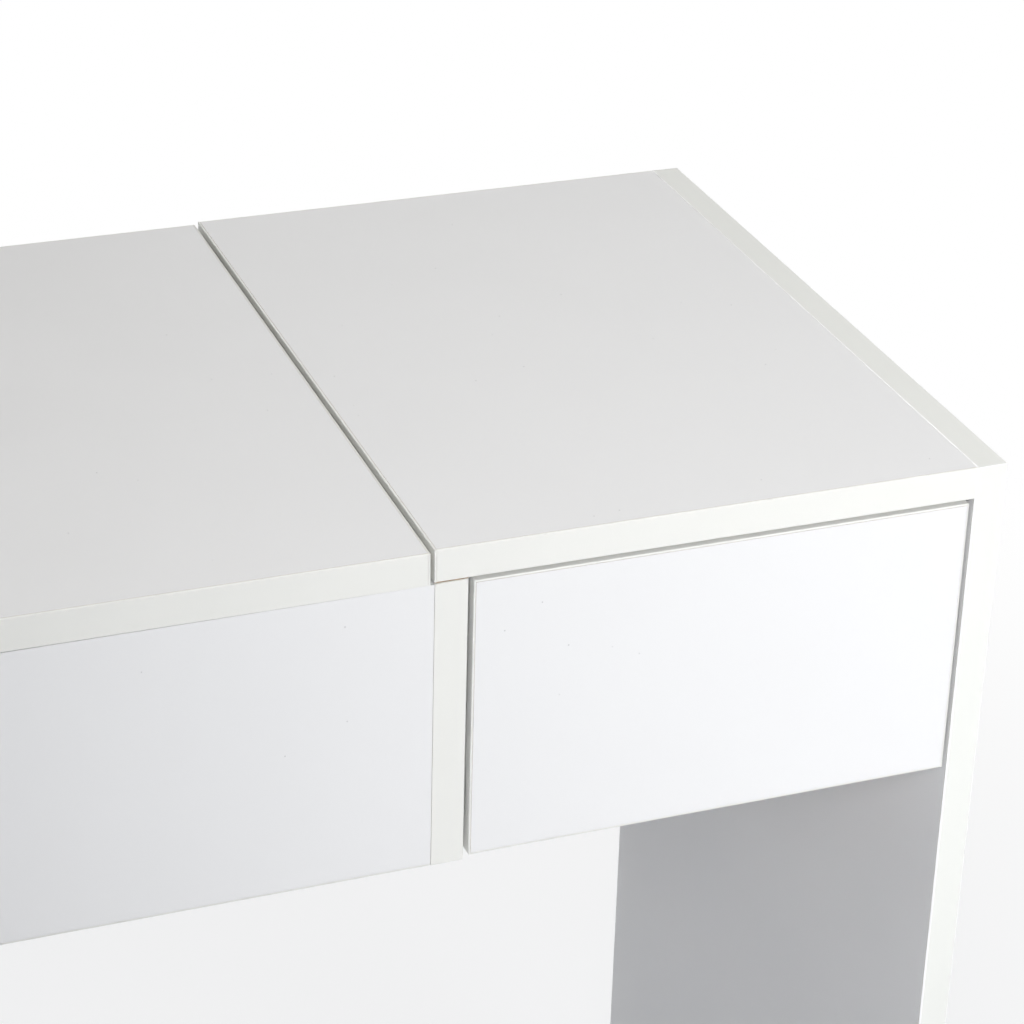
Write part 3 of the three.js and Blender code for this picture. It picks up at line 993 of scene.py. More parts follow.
@dataclass(frozen=True)
class MirrorFace(Finish):
    """Silvered glass: a bright face, faintly wavy, with wiping haze and small dust specks."""

    haze: float = 0.07
    clear: float = 0.02
    wave_height: float = 0.02 * MM
    edge_green: Rgba = (0.55, 0.72, 0.66, 1.0)

    def surface(self, graph: Graph) -> Surface:
        """Makes the nodes of the mirror's surface.

        Args:
            graph: The material's graph.

        Returns:
            What the shader takes from them.
        """
        wiped = STREAKS.place(graph, Stretch=(14.0, 5.0, 5.0)).outputs[0]
        specks = SPECKS.place(graph, Scale=90.0, Size=0.04, Share=0.25).outputs[0]
        tinted = self.tinted(graph, amount=0.02, scale=6.0)
        edge = graph.math("MULTIPLY", graph.eased_edge(), 0.5)
        green = graph.mix(edge, tinted, self.edge_green)
        colour = graph.mix(specks, green, self.shades(0.7))
        haze = graph.remap(wiped, (0.45, 0.75), (self.clear, self.haze), eased=True)
        roughness = graph.math("MULTIPLY_ADD", specks, 0.4, haze)
        normal = graph.bump(wiped, self.wave_height, strength=0.1)
        return Surface(colour, roughness, normal, metallic=1.0)


@dataclass(frozen=True)
class Fibreboard(Finish):
    """The bare side of hardboard: felted brown fibre with the mesh of the press in it."""

    roughness: float = 0.85
    mesh_pitch: float = 520.0
    mesh_height: float = 0.25 * MM

    def surface(self, graph: Graph) -> Surface:
        """Makes the nodes of the fibreboard's surface.

        Args:
            graph: The material's graph.

        Returns:
            What the shader takes from them.
        """
        mesh = graph.cells(self.mesh_pitch)
        felt = GRAIN.place(graph, Scale=1400.0).outputs["Height"]
        tinted = self.tinted(graph, amount=0.35, scale=30.0)
        fibre = graph.remap(felt, (0.4, 0.95), (0, 1))
        colour = graph.mix(fibre, tinted, self.shades(1.5))
        height = graph.math("MULTIPLY_ADD", mesh.outputs["Distance"], 0.8, felt)
        return Surface(colour, self.roughness, graph.bump(height, self.mesh_height))


WHITE_LAMINATE = Laminate("white_laminate", (0.84, 0.84, 0.84))
WHITE_BAND = EdgeBand("white_edge_band", (0.838, 0.838, 0.80))
# The side panels' bands: their eased rims, nearly all taken by the high wear amount, are lightened to 1.25
# of the base colour, a painted highlight for the bright line along the seam with the fixed top. The low
# roughness is real gloss.
PANEL_BAND_PAINTED_HIGHLIGHT = EdgeBand(
    "panel_edge_band", (0.83, 0.838, 0.80), wear_shade=1.25, wear=0.85, roughness=0.18
)
RAW_CHIPBOARD = Chipboard("raw_chipboard", (0.36, 0.24, 0.14))
DRAWER_FOIL = Laminate("drawer_foil", (0.80, 0.80, 0.78), roughness=0.5, grain=900, speck_share=0.2)
HARDBOARD_FACE = Laminate("hardboard_face", (0.79, 0.79, 0.77), roughness=0.5, grain=700)
HARDBOARD_FIBRE = Fibreboard("hardboard_fibre", (0.24, 0.15, 0.085))
BRUSHED_STEEL = Metal("brushed_steel", (0.45, 0.45, 0.46), roughness=0.28)
ZINC_PLATED = Metal("zinc_plated_steel", (0.47, 0.485, 0.52), roughness=0.3, patchiness=0.16)
CAST_ZINC = Metal(
    "cast_zinc", (0.43, 0.44, 0.46), roughness=0.42, streaks=(900.0, 900.0, 900.0), patchiness=0.2
)
POLISHED_STEEL = Metal("polished_steel", (0.72, 0.72, 0.73), roughness=0.1, streak_height=0.01 * MM)
GALVANISED = Galvanised("galvanised_sheet", (0.48, 0.49, 0.51))
NYLON = Moulded("white_nylon", (0.72, 0.72, 0.69))
SILICONE = Moulded("clear_silicone", (0.86, 0.87, 0.87), roughness=0.25, clarity=0.6)
MIRROR_GLASS = MirrorFace("mirror_glass", (0.86, 0.885, 0.875))
MIRROR_BACK = Moulded("mirror_backing_paint", (0.30, 0.31, 0.32), roughness=0.55)


# ---------------------------------------------------------------- pieces


def body_of(node: str) -> str:
    """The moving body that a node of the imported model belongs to."""
    return frame["nodes"][node]["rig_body"]


def install(piece: Object, slot: str, *nodes: str) -> Object:
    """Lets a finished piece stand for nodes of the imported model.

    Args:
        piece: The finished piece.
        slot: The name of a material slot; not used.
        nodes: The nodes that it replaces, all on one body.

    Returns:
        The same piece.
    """
    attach(piece, body_of(nodes[0]))
    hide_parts(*nodes)
    return piece


def add_piece(piece: Object, body: str) -> Object:
    """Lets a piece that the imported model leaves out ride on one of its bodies.

    Args:
        piece: The finished piece.
        body: The moving body that carries it.

    Returns:
        The same piece.
    """
    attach(piece, body)
    return piece


def coat(piece: Object, finishes: Sequence[Finish], choose: SlotChoice) -> None:
    """Gives a piece its material slots, and each of its faces one of them.

    Args:
        piece: The piece.
        finishes: The finish of each slot.
        choose: Says which slot a face takes.
    """
    piece.data.materials.clear()
    for finish in finishes:
        piece.data.materials.append(finish.material())
    for face in piece.data.polygons:
        face.material_index = choose(face)


def dress(piece: Object, *finishes: Finish, choose: SlotChoice = lambda face: 0) -> Object:
    """Gives a piece its finishes, and marks its eased faces.

    Args:
        piece: The piece, not yet turned out of its box.
        finishes: The finish of each slot.
        choose: Says which slot a face takes.

    Returns:
        The same piece.
    """
    coat(piece, finishes, choose)
    mark_eased_faces(piece)
    return piece


def complete(piece: Object, finish: Finish, slot: str, node: str) -> Object:
    """Smooths and dresses a piece, and lets it stand for its node."""
    smooth(piece)
    return install(dress(piece, finish), slot, node)


class BoardSlot(Enum):
    """The material slots of a board, in order."""

    FACE = 0
    BAND = 1
    RAW = 2


@dataclass
class Board:
    """One panel: a core with laminated faces, and bands glued to the edges that show.

    The first bands run the full length of their edge, and later ones fit between them.
    A butted side keeps sharp edges, a crisp side has its bands rounded by its own amount, a
    grown side reaches past its node's face, and the bands stop short of a short side.
    """

    node: str
    bands: tuple[Side, ...]
    thin: Axis
    face: Finish = WHITE_LAMINATE
    band: Finish = WHITE_BAND
    raw: Finish = RAW_CHIPBOARD
    slot: str = "white_board"
    wrapped: tuple[Side, ...] = ()
    butted: tuple[Side, ...] = ()
    crisp: tuple[Side, ...] = ()
    grown: tuple[tuple[Side, float], ...] = ()
    short: tuple[tuple[Side, float], ...] = ()
    band_thickness: float = 1.0 * MM
    glue: float = 0.12 * MM
    ease: float = 0.5 * MM
    crisp_ease: float = 0.06 * MM
    cutters: list[Object] = field(default_factory=list)

    def build(self) -> Object:
        """Models the board, dresses it and puts it in the place of its node.

        Returns:
            The finished board.
        """
        outer = Box.of(self.node)
        for side, reach in self.grown:
            outer = outer.trimmed(side, -reach)
        shells = [self.core(outer)]
        for side, reach in self.short:
            outer = outer.trimmed(side, reach)
        free = outer
        for side in self.bands:
            shells.append(self.strip(side, outer, free))
            free = free.trimmed(side, self.band_thickness + self.glue)
        board = join("board_" + self.node, shells)
        smooth(board)
        mark_eased_faces(board)
        return install(board, self.slot, self.node)

    @property
    def finishes(self) -> tuple[Finish, ...]:
        """The finishes of the board's material slots, in order."""
        return (self.face, self.band, self.raw)

    def core(self, outer: Box) -> Object:
        """The particle-board core, its edges eased where they have no band and butt on nothing.

        Args:
            outer: The whole board's box.

        Returns:
            The core, laminated where it is covered and raw elsewhere.
        """
        box = outer
        for side in self.bands:
            box = box.trimmed(side, self.band_thickness + self.glue)
        core = start_box(self.node + "_core", box)
        square = self.bands + self.butted
        bevel(
            core,
            lambda edge: not any(box.touches(side, edge_middle(edge)) for side in square),
            offset=self.ease / 2,
            segments=2,
        )
        combine(core, self.cutters, "DIFFERENCE")
        coat(core, self.finishes, lambda face: self.core_slot(face, box).value)
        return core

    def core_slot(self, face: MeshPolygon, box: Box) -> BoardSlot:
        """Which slot a face of the core takes.

        Args:
            face: The face.
            box: The core's box.

        Returns:
            The laminate's slot on the broad and the wrapped sides, the raw one elsewhere.
        """
        broad = [side for side in AROUND if side.axis == self.thin]
        covered = any(
            looks_to(face, side, ROUGHLY)
            and abs(face.center[side.axis] - box.face(side)) < self.ease
            for side in (*broad, *self.wrapped)
        )
        return BoardSlot.FACE if covered else BoardSlot.RAW

    def strip(self, side: Side, outer: Box, free: Box) -> Object:
        """One edge band, its free edges rounded and its butted ends left square.

        Args:
            side: The board's edge that it covers.
            outer: The whole board's box.
            free: What earlier bands leave of that box.

        Returns:
            The band.
        """
        box = free.with_face(side, outer.face(side)).slab(side, self.band_thickness)
        strip = start_box(f"{self.node}_band_{side.name.lower()}", box)
        rounded = [
            other
            for other in AROUND
            if other.axis != side.axis
            and other not in self.butted
            and abs(outer.face(other) - free.face(other)) < TOLERANCE
        ]
        for crisp, ease in ((True, self.crisp_ease), (False, self.ease)):
            rims = [other for other in rounded if (other in self.crisp) == crisp]
            bevel(
                strip,
                lambda edge: box.touches(side, edge_middle(edge))
                and any(box.touches(other, edge_middle(edge)) for other in rims),
                offset=ease,
                segments=3,
            )
        coat(strip, self.finishes, lambda face: BoardSlot.BAND.value)
        return strip


# ---------------------------------------------------------------- fasteners and turned pieces


class Pattern:
    """A piece modelled once at the origin, from which each repeat is copied."""

    def __init__(self, master: Object, finish: Finish) -> None:
        """Smooths and dresses the master.

        Args:
            master: The piece at the origin, its top facing +Z.
            finish: Its finish.
        """
        smooth(master)
        dress(master, finish)
        self.master = master

    def copy(self, name: str, origin: Vector, towards: Side) -> Object:
        """A copy with its own mesh, its origin at a point and its top facing a side."""
        return place(duplicate(self.master, name), origin, towards)

    def stand_for(self, node: str, slot: str, origin: Vector, towards: Side) -> Object:
        """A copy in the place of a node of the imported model."""
        return install(self.copy(node + "_finished", origin, towards), slot, node)

    def discard(self) -> None:
        """Removes the master when every repeat has been copied."""
        bpy.data.objects.remove(self.master)


WEDGE_FLOOR = 0.45


def cross_recess(length: float, width: float, depth: float, top: float) -> list[Object]:
    """The cutters of a cross recess: two crossed wedges that narrow downwards.

    Args:
        length: How far the cross reaches across.
        width: How wide its slots are.
        depth: How deep it goes.
        top: The level of the surface that it is sunk into.

    Returns:
        The two cutters.
    """
    cutters = []
    for across, along in ((width, length), (length, width)):
        half = Vector((across / 2, along / 2, 0))
        low = Vector((0, 0, top - depth)) - half
        high = Vector((0, 0, top + depth)) + half
        wedge = start_box("cross_wedge", Box(low, high))
        with editing(wedge):
            pick("FACE", lambda face: looks_to(face, Side.BOTTOM))
            bpy.ops.transform.resize(
                value=(WEDGE_FLOOR, WEDGE_FLOOR, 1), center_override=(0, 0, top - depth)
            )
        cutters.append(wedge)
    return cutters


@dataclass(frozen=True)
class Screw:
    """A countersunk screw with a cross recess: the head's face at the origin, the point below.

    Its taper, tip, root and neck are shares of the shank's radius. Its rim and the recess's
    length and width are shares of the head's radius, and the recess's depth of its height.
    """

    head_radius: float
    head_height: float
    shank_radius: float
    length: float
    turns: int = 7
    sides: int = 20
    taper: float = 1.8
    tip: float = 0.2
    root: float = 0.74
    neck: float = 0.78
    rim: float = 0.12
    recess_length: float = 1.2
    recess_width: float = 0.3
    recess_depth: float = 0.8

    def pattern(self) -> Pattern:
        """Models the screw.

        Returns:
            The screw, to be copied.
        """
        point = self.taper * self.shank_radius
        thread_top = -self.head_height - self.shank_radius
        pitch = (self.length + thread_top - point) / self.turns
        profile: list[Span] = [(self.tip * self.shank_radius, -self.length)]
        for turn in range(self.turns):
            crest = -self.length + point + turn * pitch
            profile.append((self.root * self.shank_radius, crest - pitch / 4))
            profile.append((self.shank_radius, crest))
        rim = self.rim * self.head_radius
        profile += [
            (self.neck * self.shank_radius, thread_top),
            (self.neck * self.shank_radius, -self.head_height),
            (self.head_radius, -rim),
            (self.head_radius, -rim / 3),
            (self.head_radius - rim / 3, 0),
        ]
        recess = cross_recess(
            length=self.recess_length * self.head_radius,
            width=self.recess_width * self.head_radius,
            depth=self.recess_depth * self.head_height,
            top=0,
        )
        screw = turn_profile("screw", profile, self.sides)
        return Pattern(combine(screw, recess, "DIFFERENCE"), ZINC_PLATED)

    def drill(
        self, piece: Object, spots: Iterable[Vector], towards: Side, play: float, depth: float
    ) -> None:
        """Sinks countersunk holes for the screw into a piece.

        Args:
            piece: The piece.
            spots: Where the screw's head goes.
            towards: Where the head looks.
            play: How much wider than the screw a hole is, all round.
            depth: How deep it goes.
        """
        shank, head = self.shank_radius + play, self.head_radius + play
        profile = [(shank, -depth), (shank, -self.head_height), (head, 0), (head, depth)]
        for spot in spots:
            hole = turn_profile("screw_hole", profile, self.sides)
            combine(piece, [place(hole, spot, towards)], "DIFFERENCE")


HINGE_SCREW = Screw(2.75 * MM, 1.6 * MM, 1.5 * MM, 14 * MM)
PLATE_SCREW = Screw(2.9 * MM, 1.2 * MM, 1.5 * MM, 13 * MM)


@dataclass
class CamFitting:
    """A cam disc let into the inner face of a cross board, over the bolt that it pulls.

    Its play and rim are lengths. The recess and the pointer notch are shares of the disc's
    radius and depth.
    """

    board: str
    hand: Hand
    play: float = 0.3 * MM
    rim: float = 0.5 * MM
    recess_length: float = 0.9
    recess_width: float = 0.24
    recess_depth: float = 0.25
    notch_start: float = 0.72
    notch_end: float = 1.2
    notch_half: float = 0.06
    notch_floor: float = 0.94
    notch_top: float = 1.1

    @property
    def node(self) -> str:
        """The disc's node."""
        return f"cam_disc_{self.board}_{self.hand}"

    @property
    def facing(self) -> Side:
        """Where the disc's open face looks: into the compartment."""
        return Side.BACK if self.board == "apron" else Side.FRONT

    @property
    def bottom(self) -> Vector:
        """The middle of the disc's buried face."""
        box = Box.of(self.node)
        return Vector((box.middle.x, box.face(self.facing.opposite), box.middle.z))

    def pocket(self) -> Object:
        """A cutter for the disc's pocket.

        Returns:
            The cutter, in its place.
        """
        size = Box.of(self.node).size
        radius = size.x / 2 + self.play
        profile = [(radius, -self.play), (radius, 2 * size.y)]
        return place(turn_profile("cam_pocket", profile), self.bottom, self.facing)

    def pattern(self) -> Pattern:
        """Models the disc: a chamfered zinc drum with a cross recess and a pointer notch.

        Returns:
            The disc, to be copied.
        """
        size = Box.of(self.node).size
        radius, depth = size.x / 2, size.y
        near_end = [(radius - self.rim, 0), (radius, self.rim)]
        disc = turn_profile("cam_disc", near_end + far_end(near_end, depth), sides=40)
        recess = cross_recess(
            length=self.recess_length * radius,
            width=self.recess_width * radius,
            depth=self.recess_depth * depth,
            top=depth,
        )
        low = Vector((self.notch_start * radius, -self.notch_half * radius, self.notch_floor * depth))
        high = Vector((self.notch_end * radius, self.notch_half * radius, self.notch_top * depth))
        notch = start_box("cam_notch", Box(low, high))
        return Pattern(combine(disc, recess + [notch], "DIFFERENCE"), CAST_ZINC)

    def build(self, pattern: Pattern) -> Object:
        """Copies the disc into its pocket, and dresses the bolt's own node.

        Args:
            pattern: The disc.

        Returns:
            The copy.
        """
        bolt = frame["nodes"][f"cam_bolt_{self.board}_{self.hand}"]
        bolt.data.materials.clear()
        bolt.data.materials.append(ZINC_PLATED.material())
        return pattern.stand_for(self.node, "zinc", self.bottom, self.facing)


@dataclass
class Glides:
    """Nylon glides nailed under the side panels.

    The rim and the nail are shares of a glide's width, and the nail's point of the nail.
    """

    nail_head: float = 2.6 * MM
    dish: float = 1.2 * MM
    gap: float = 0.1 * MM
    rim: float = 0.06
    nail: float = 0.09
    point: float = 0.3

    def build(self) -> list[Object]:
        """Models one glide and copies it under each end of each side panel.

        Returns:
            The four glides.
        """
        box = Box.of("glide_left_front")
        radius = box.size.x / 2
        rim = box.size.x * self.rim
        collar = Box.of("left_side_panel").low.z - self.gap
        nail = self.nail * box.size.x
        profile = [
            (self.nail_head, self.dish),
            (self.nail_head + rim, 0),
            (radius - 2 * rim, 0),
            (radius - rim / 2, rim / 2),
            (radius, 2 * rim),
            (radius, collar - rim / 2),
            (radius - rim / 2, collar),
            (nail, collar),
            (nail, box.high.z - nail),
            (self.point * nail, box.high.z),
        ]
        pattern = Pattern(turn_profile("glide", profile, sides=40), NYLON)
        glides = []
        for hand in Hand:
            for end in ("front", "rear"):
                node = f"glide_{hand}_{end}"
                origin = Vector((*Box.of(node).middle.xy, 0))
                glides.append(pattern.stand_for(node, "nylon", origin, Side.TOP))
        pattern.discard()
        return glides


# ---------------------------------------------------------------- sub-assemblies


@dataclass
class Carcass:
    """The standing frame: side panels, divider, fixed top, apron, backs and the compartment's floor."""

    top_overhang: float = 0.4 * MM
    top_joint: float = 0.12 * MM
    top_rise: float = 0.4 * MM
    apron_rise: float = 0.96 * MM
    apron_sag: float = 0.88 * MM
    panel_drop: float = 0.6 * MM
    panel_rim: float = 0.8 * MM
    bare_line: float = 0.7 * MM
    seat_play: float = 0.4 * MM
    seat_depth: float = 0.1 * MM
    seat_reach: float = 2 * MM

    def build(self) -> list[Object]:
        """Models and dresses the carcass's boards, cam fittings and glides.

        Returns:
            The pieces.
        """
        fittings = {
            board: [CamFitting(board, hand) for hand in Hand] for board in ("apron", "back")
        }
        pockets = {board: [cam.pocket() for cam in cams] for board, cams in fittings.items()}
        seats = [self.bumper_seat(hand) for hand in Hand]
        boards = self.boards(pockets["apron"] + seats, pockets["back"])
        pieces = [board.build() for board in boards]
        self.open_lid_joint()
        pattern = fittings["apron"][0].pattern()
        pieces += [cam.build(pattern) for cams in fittings.values() for cam in cams]
        pattern.discard()
        return pieces + Glides().build()

    def boards(self, apron_cutters: list[Object], back_cutters: list[Object]) -> list[Board]:
        """The carcass's boards, in the order in which they are built.

        Args:
            apron_cutters: What is cut out of the apron.
            back_cutters: What is cut out of the compartment's back.

        Returns:
            The boards.
        """
        around = (Side.FRONT, Side.BACK, Side.TOP, Side.BOTTOM)
        # The side panels' bands carry the painted rim highlight.
        panel = {"band": PANEL_BAND_PAINTED_HIGHLIGHT, "grown": ((Side.TOP, -self.panel_drop),)}
        top_growth = (
            (Side.LEFT, self.top_overhang),
            (Side.RIGHT, self.top_joint),
            (Side.TOP, self.top_rise),
        )
        return [
            Board("left_side_panel", around, Axis.X, **panel),
            Board(
                "right_side_panel",
                around,
                Axis.X,
                crisp=(Side.LEFT,),
                crisp_ease=self.panel_rim,
                **panel,
            ),
            Board(
                "divider",
                (Side.FRONT, Side.BACK, Side.BOTTOM),
                Axis.X,
                crisp=(Side.LEFT,),
                short=((Side.TOP, self.bare_line),),
            ),
            Board(
                "fixed_top",
                (Side.LEFT, Side.FRONT, Side.BACK),
                Axis.Z,
                butted=(Side.RIGHT,),
                grown=top_growth,
            ),
            Board(
                "front_apron",
                (Side.BOTTOM,),
                Axis.Y,
                wrapped=(Side.TOP,),
                butted=(Side.TOP,),
                grown=((Side.TOP, self.apron_rise),),
                cutters=apron_cutters,
            ),
            Board("compartment_back", (Side.BOTTOM, Side.TOP), Axis.Y, cutters=back_cutters),
            Board("compartment_floor", (), Axis.Z),
            Board("drawer_bay_back", (Side.BOTTOM,), Axis.Y),
        ]

    def bumper_seat(self, hand: Hand) -> Object:
        """A cutter for the shallow seat in the apron's top under one of the lid's bumpers.

        Args:
            hand: Which bumper.

        Returns:
            The cutter, in its place.
        """
        box = Box.of(f"lid_bumper_{hand}")
        radius = box.size.x / 2 + self.seat_play
        seat = turn_profile(f"bumper_seat_{hand}", [(radius, 0), (radius, self.seat_reach)])
        return place(seat, Vector((*box.middle.xy, box.low.z - self.seat_depth)))

    def open_lid_joint(self) -> None:
        """Lowers the left end of the apron's top, so that the joint under the lid opens to the left."""
        box = Box.of("front_apron")
        with editing(bpy.data.objects["board_front_apron"]):
            pick("VERT", lambda vert: vert.co.z > box.high.z and vert.co.x < box.middle.x)
            bpy.ops.transform.translate(value=(0, 0, -self.apron_sag))


@dataclass
class Mirror:
    """The glass under the lid: bevelled round its face, silvered and painted behind."""

    bevel_width: float = 9 * MM
    bevel_depth: float = 1.2 * MM
    corner: float = 2 * MM
    sharpest: float = 5

    def build(self) -> Object:
        """Models and dresses the mirror.

        Returns:
            The finished mirror.
        """
        box = Box.of("mirror")
        glass = start_box("mirror_finished", box)
        rise = Vector((0, 0, self.bevel_depth))
        bevel(glass, lambda edge: edge_reach(edge).z > box.size.z / 2, self.corner, segments=4)
        with editing(glass):
            pick("FACE", lambda face: looks_to(face, Side.BOTTOM))
            bpy.ops.transform.translate(value=rise)
            bpy.ops.mesh.extrude_region_move(TRANSFORM_OT_translate={"value": (0, 0, 0)})
            bpy.ops.transform.resize(
                value=tuple(1 - 2 * self.bevel_width / length for length in box.size.xy) + (1,),
                center_override=box.middle,
            )
            bpy.ops.transform.translate(value=-rise)
        smooth(glass, degrees=self.sharpest)
        dress(glass, MIRROR_GLASS, MIRROR_BACK, choose=lambda face: int(looks_to(face, Side.TOP)))
        return install(glass, "mirror_glass", "mirror")


@dataclass
class Lid:
    """The flip-up lid with its mirror and its two clear bumpers.

    A bumper's dome starts at a share of its height and turns through a share of half a circle.
    """

    reach: float = 0.4 * MM
    dome_start: float = 0.35
    dome_rise: float = 0.65
    dome_turn: float = 0.45
    dome_steps: int = 5

    def build(self) -> list[Object]:
        """Models and dresses the lid, the mirror and the bumpers.

        Returns:
            The pieces.
        """
        board = Board(
            "lid",
            (Side.RIGHT, Side.LEFT, Side.FRONT, Side.BACK),
            Axis.Z,
            crisp=(Side.BOTTOM,),
            grown=((Side.RIGHT, self.reach),),
        )
        return [board.build(), Mirror().build(), *self.bumpers()]

    def bumpers(self) -> list[Object]:
        """Two domed bumpers on the lid's underside, over the apron.

        Returns:
            The bumpers.
        """
        size = Box.of("lid_bumper_left").size
        radius, height = size.x / 2, size.z
        profile = [(radius, 0.0)]
        for step in range(self.dome_steps + 1):
            angle = step / self.dome_steps * self.dome_turn * math.pi
            level = self.dome_start + self.dome_rise * math.sin(angle)
            profile.append((radius * math.cos(angle), height * level))
        pattern = Pattern(turn_profile("bumper", profile), SILICONE)
        bumpers = []
        for hand in Hand:
            node = f"lid_bumper_{hand}"
            box = Box.of(node)
            origin = Vector((*box.middle.xy, box.high.z))
            bumpers.append(pattern.stand_for(node, "rubber", origin, Side.BOTTOM))
        pattern.discard()
        return bumpers


@dataclass(frozen=True)
class Leaf:
    """One leaf of a hinge: its name, where it reaches, and which knuckles are its own."""

    name: str
    away: Side
    knuckles: tuple[int, ...]


LEAVES = (Leaf("lid", Side.TOP, (1,)), Leaf("frame", Side.BOTTOM, (0, 2)))


@dataclass
class LidHinges:
    """Two butt hinges behind the table, their pins level with the lid's underside.

    The dome at a pin's ends is given in shares of its radius.
    """

    leaf_thickness: float = 1.25 * MM
    knuckle_radius: float = 3 * MM
    knuckle_gap: float = 0.3 * MM
    knuckle_chamfer: float = 0.25 * MM
    knuckles: int = 3
    pin_play: float = 0.25 * MM
    corner: float = 2.5 * MM
    screw_play: float = 0.25 * MM
    hole_depth: float = 3 * MM
    bore_length: float = 1.0
    pin_dome: tuple[Span, ...] = ((0.45, 0), (0.85, 0.15), (1, 0.5))

    def build(self) -> list[Object]:
        """Models each hinge's leaves, pin and screws.

        Returns:
            The pieces.
        """
        screws = HINGE_SCREW.pattern()
        pieces = []
        for hand in Hand:
            pieces += [*(self.leaf(hand, leaf) for leaf in LEAVES), self.pin(hand)]
            for leaf in LEAVES:
                for node, head in self.heads(hand, leaf).items():
                    pieces.append(screws.stand_for(node, "steel", head, Side.BACK))
        screws.discard()
        return pieces

    @staticmethod
    def heads(hand: Hand, leaf: Leaf) -> dict[str, Vector]:
        """The middles of the heads of a leaf's two screws.

        Args:
            hand: Which hinge.
            leaf: Which leaf.

        Returns:
            Each middle by its screw's node.
        """
        nodes = [f"hinge_screw_{leaf.name}_{hand}_{number}" for number in (1, 2)]
        boxes = {node: Box.of(node) for node in nodes}
        return {
            node: Vector((box.middle.x, box.high.y, box.middle.z)) for node, box in boxes.items()
        }

    def leaf(self, hand: Hand, leaf: Leaf) -> Object:
        """One leaf: a flat plate with rounded corners, rolled round the pin at its own knuckles.

        Args:
            hand: Which hinge.
            leaf: Which leaf.

        Returns:
            The finished leaf.
        """
        node = f"hinge_{leaf.name}_leaf_{hand}"
        pin = Box.of(f"hinge_pin_{hand}")
        axis = pin.middle
        box = self.plate_box(hand, leaf)
        plate = start_box(node + "_finished", box)
        bevel(
            plate,
            lambda edge: edge_reach(edge).y > self.leaf_thickness / 2
            and box.touches(leaf.away, edge_middle(edge)),
            self.corner,
            segments=5,
        )
        rolled = []
        for number in leaf.knuckles:
            rolled += self.knuckle(number, leaf, box, axis)
        combine(plate, rolled, "UNION")
        radius = pin.size.z / 2 + self.pin_play
        bore = turn_profile("bore", [(radius, 0), (radius, self.bore_length)])
        start = Vector((axis.x - self.bore_length / 2, axis.y, axis.z))
        combine(plate, [place(bore, start, Side.RIGHT)], "DIFFERENCE")
        heads = self.heads(hand, leaf).values()
        HINGE_SCREW.drill(plate, heads, Side.BACK, self.screw_play, self.hole_depth)
        return complete(plate, BRUSHED_STEEL, "steel", node)

    def plate_box(self, hand: Hand, leaf: Leaf) -> Box:
        """The box of a leaf's flat plate, clear of the other leaf's knuckles.

        Args:
            hand: Which hinge.
            leaf: Which leaf.

        Returns:
            The box.
        """
        whole = Box.of(f"hinge_{leaf.name}_leaf_{hand}")
        span = Box.of(f"hinge_frame_leaf_{hand}")
        relief = leaf.away.sign * (self.knuckle_radius + self.knuckle_gap)
        near = Box.of(f"hinge_pin_{hand}").middle.z + relief
        box = whole.with_face(Side.BACK, whole.low.y + self.leaf_thickness)
        box = box.with_face(leaf.away.opposite, near)
        return box.with_face(Side.LEFT, span.low.x).with_face(Side.RIGHT, span.high.x)

    def knuckle(self, number: int, leaf: Leaf, plate: Box, axis: Vector) -> list[Object]:
        """One knuckle: a chamfered barrel round the pin, and the tab that joins it to its leaf.

        Args:
            number: Which knuckle, counted from the left.
            leaf: The leaf that it belongs to.
            plate: The box of that leaf's plate.
            axis: The middle of the pin.

        Returns:
            The barrel and the tab.
        """
        pitch = plate.size.x / self.knuckles
        start = plate.low.x + number * pitch + self.knuckle_gap / 2
        length = pitch - self.knuckle_gap
        outer, chamfer = self.knuckle_radius, self.knuckle_chamfer
        near_end = [(outer - chamfer, 0), (outer, chamfer)]
        barrel = turn_profile("knuckle", near_end + far_end(near_end, length), sides=36)
        overlap = plate.face(leaf.away.opposite) + leaf.away.sign * self.leaf_thickness
        tab = plate.with_face(Side.LEFT, start).with_face(Side.RIGHT, start + length)
        tab = tab.with_face(leaf.away, overlap).with_face(leaf.away.opposite, axis.z)
        barrel = place(barrel, Vector((start, axis.y, axis.z)), Side.RIGHT)
        return [barrel, start_box("knuckle_tab", tab)]

    def pin(self, hand: Hand) -> Object:
        """The hinge pin with its domed ends.

        Args:
            hand: Which hinge.

        Returns:
            The finished pin.
        """
        node = f"hinge_pin_{hand}"
        box = Box.of(node)
        radius, length = box.size.z / 2, box.size.x
        dome = [(share * radius, level * radius) for share, level in self.pin_dome]
        pin = turn_profile(node + "_finished", dome + far_end(dome, length))
        place(pin, Vector((box.low.x, *box.middle.yz)), Side.RIGHT)
        return complete(pin, BRUSHED_STEEL, "steel", node)


def joint_point(name: str) -> Vector:
    """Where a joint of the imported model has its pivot."""
    return next(Vector(joint["pos_m"]) for joint in frame["joints"] if joint["name"] == name)


@dataclass
class Handed:
    """A fitting that comes as a left one and a right one."""

    hand: Hand

    @property
    def inward(self) -> Side:
        """The side that faces away from the wall, to the other fitting."""
        return self.hand.inward

    def named(self, part: str) -> str:
        """The name of one of the fitting's parts."""
        return f"{part}_{self.hand}"

    def drive(
        self, pattern: Pattern, part: str, spots: Iterable[Vector], towards: Side, body: str
    ) -> list[Object]:
        """Drives a screw at each of several spots.

        Args:
            pattern: The screw.
            part: What the screws' names start with.
            spots: Where their heads go.
            towards: Where the heads look.
            body: The moving body that carries them.

        Returns:
            The screws.
        """
        screws = []
        for number, spot in enumerate(spots, start=1):
            screw = pattern.copy(f"{self.named(part)}_{number}", spot, towards)
            screws.append(add_piece(screw, body))
        return screws


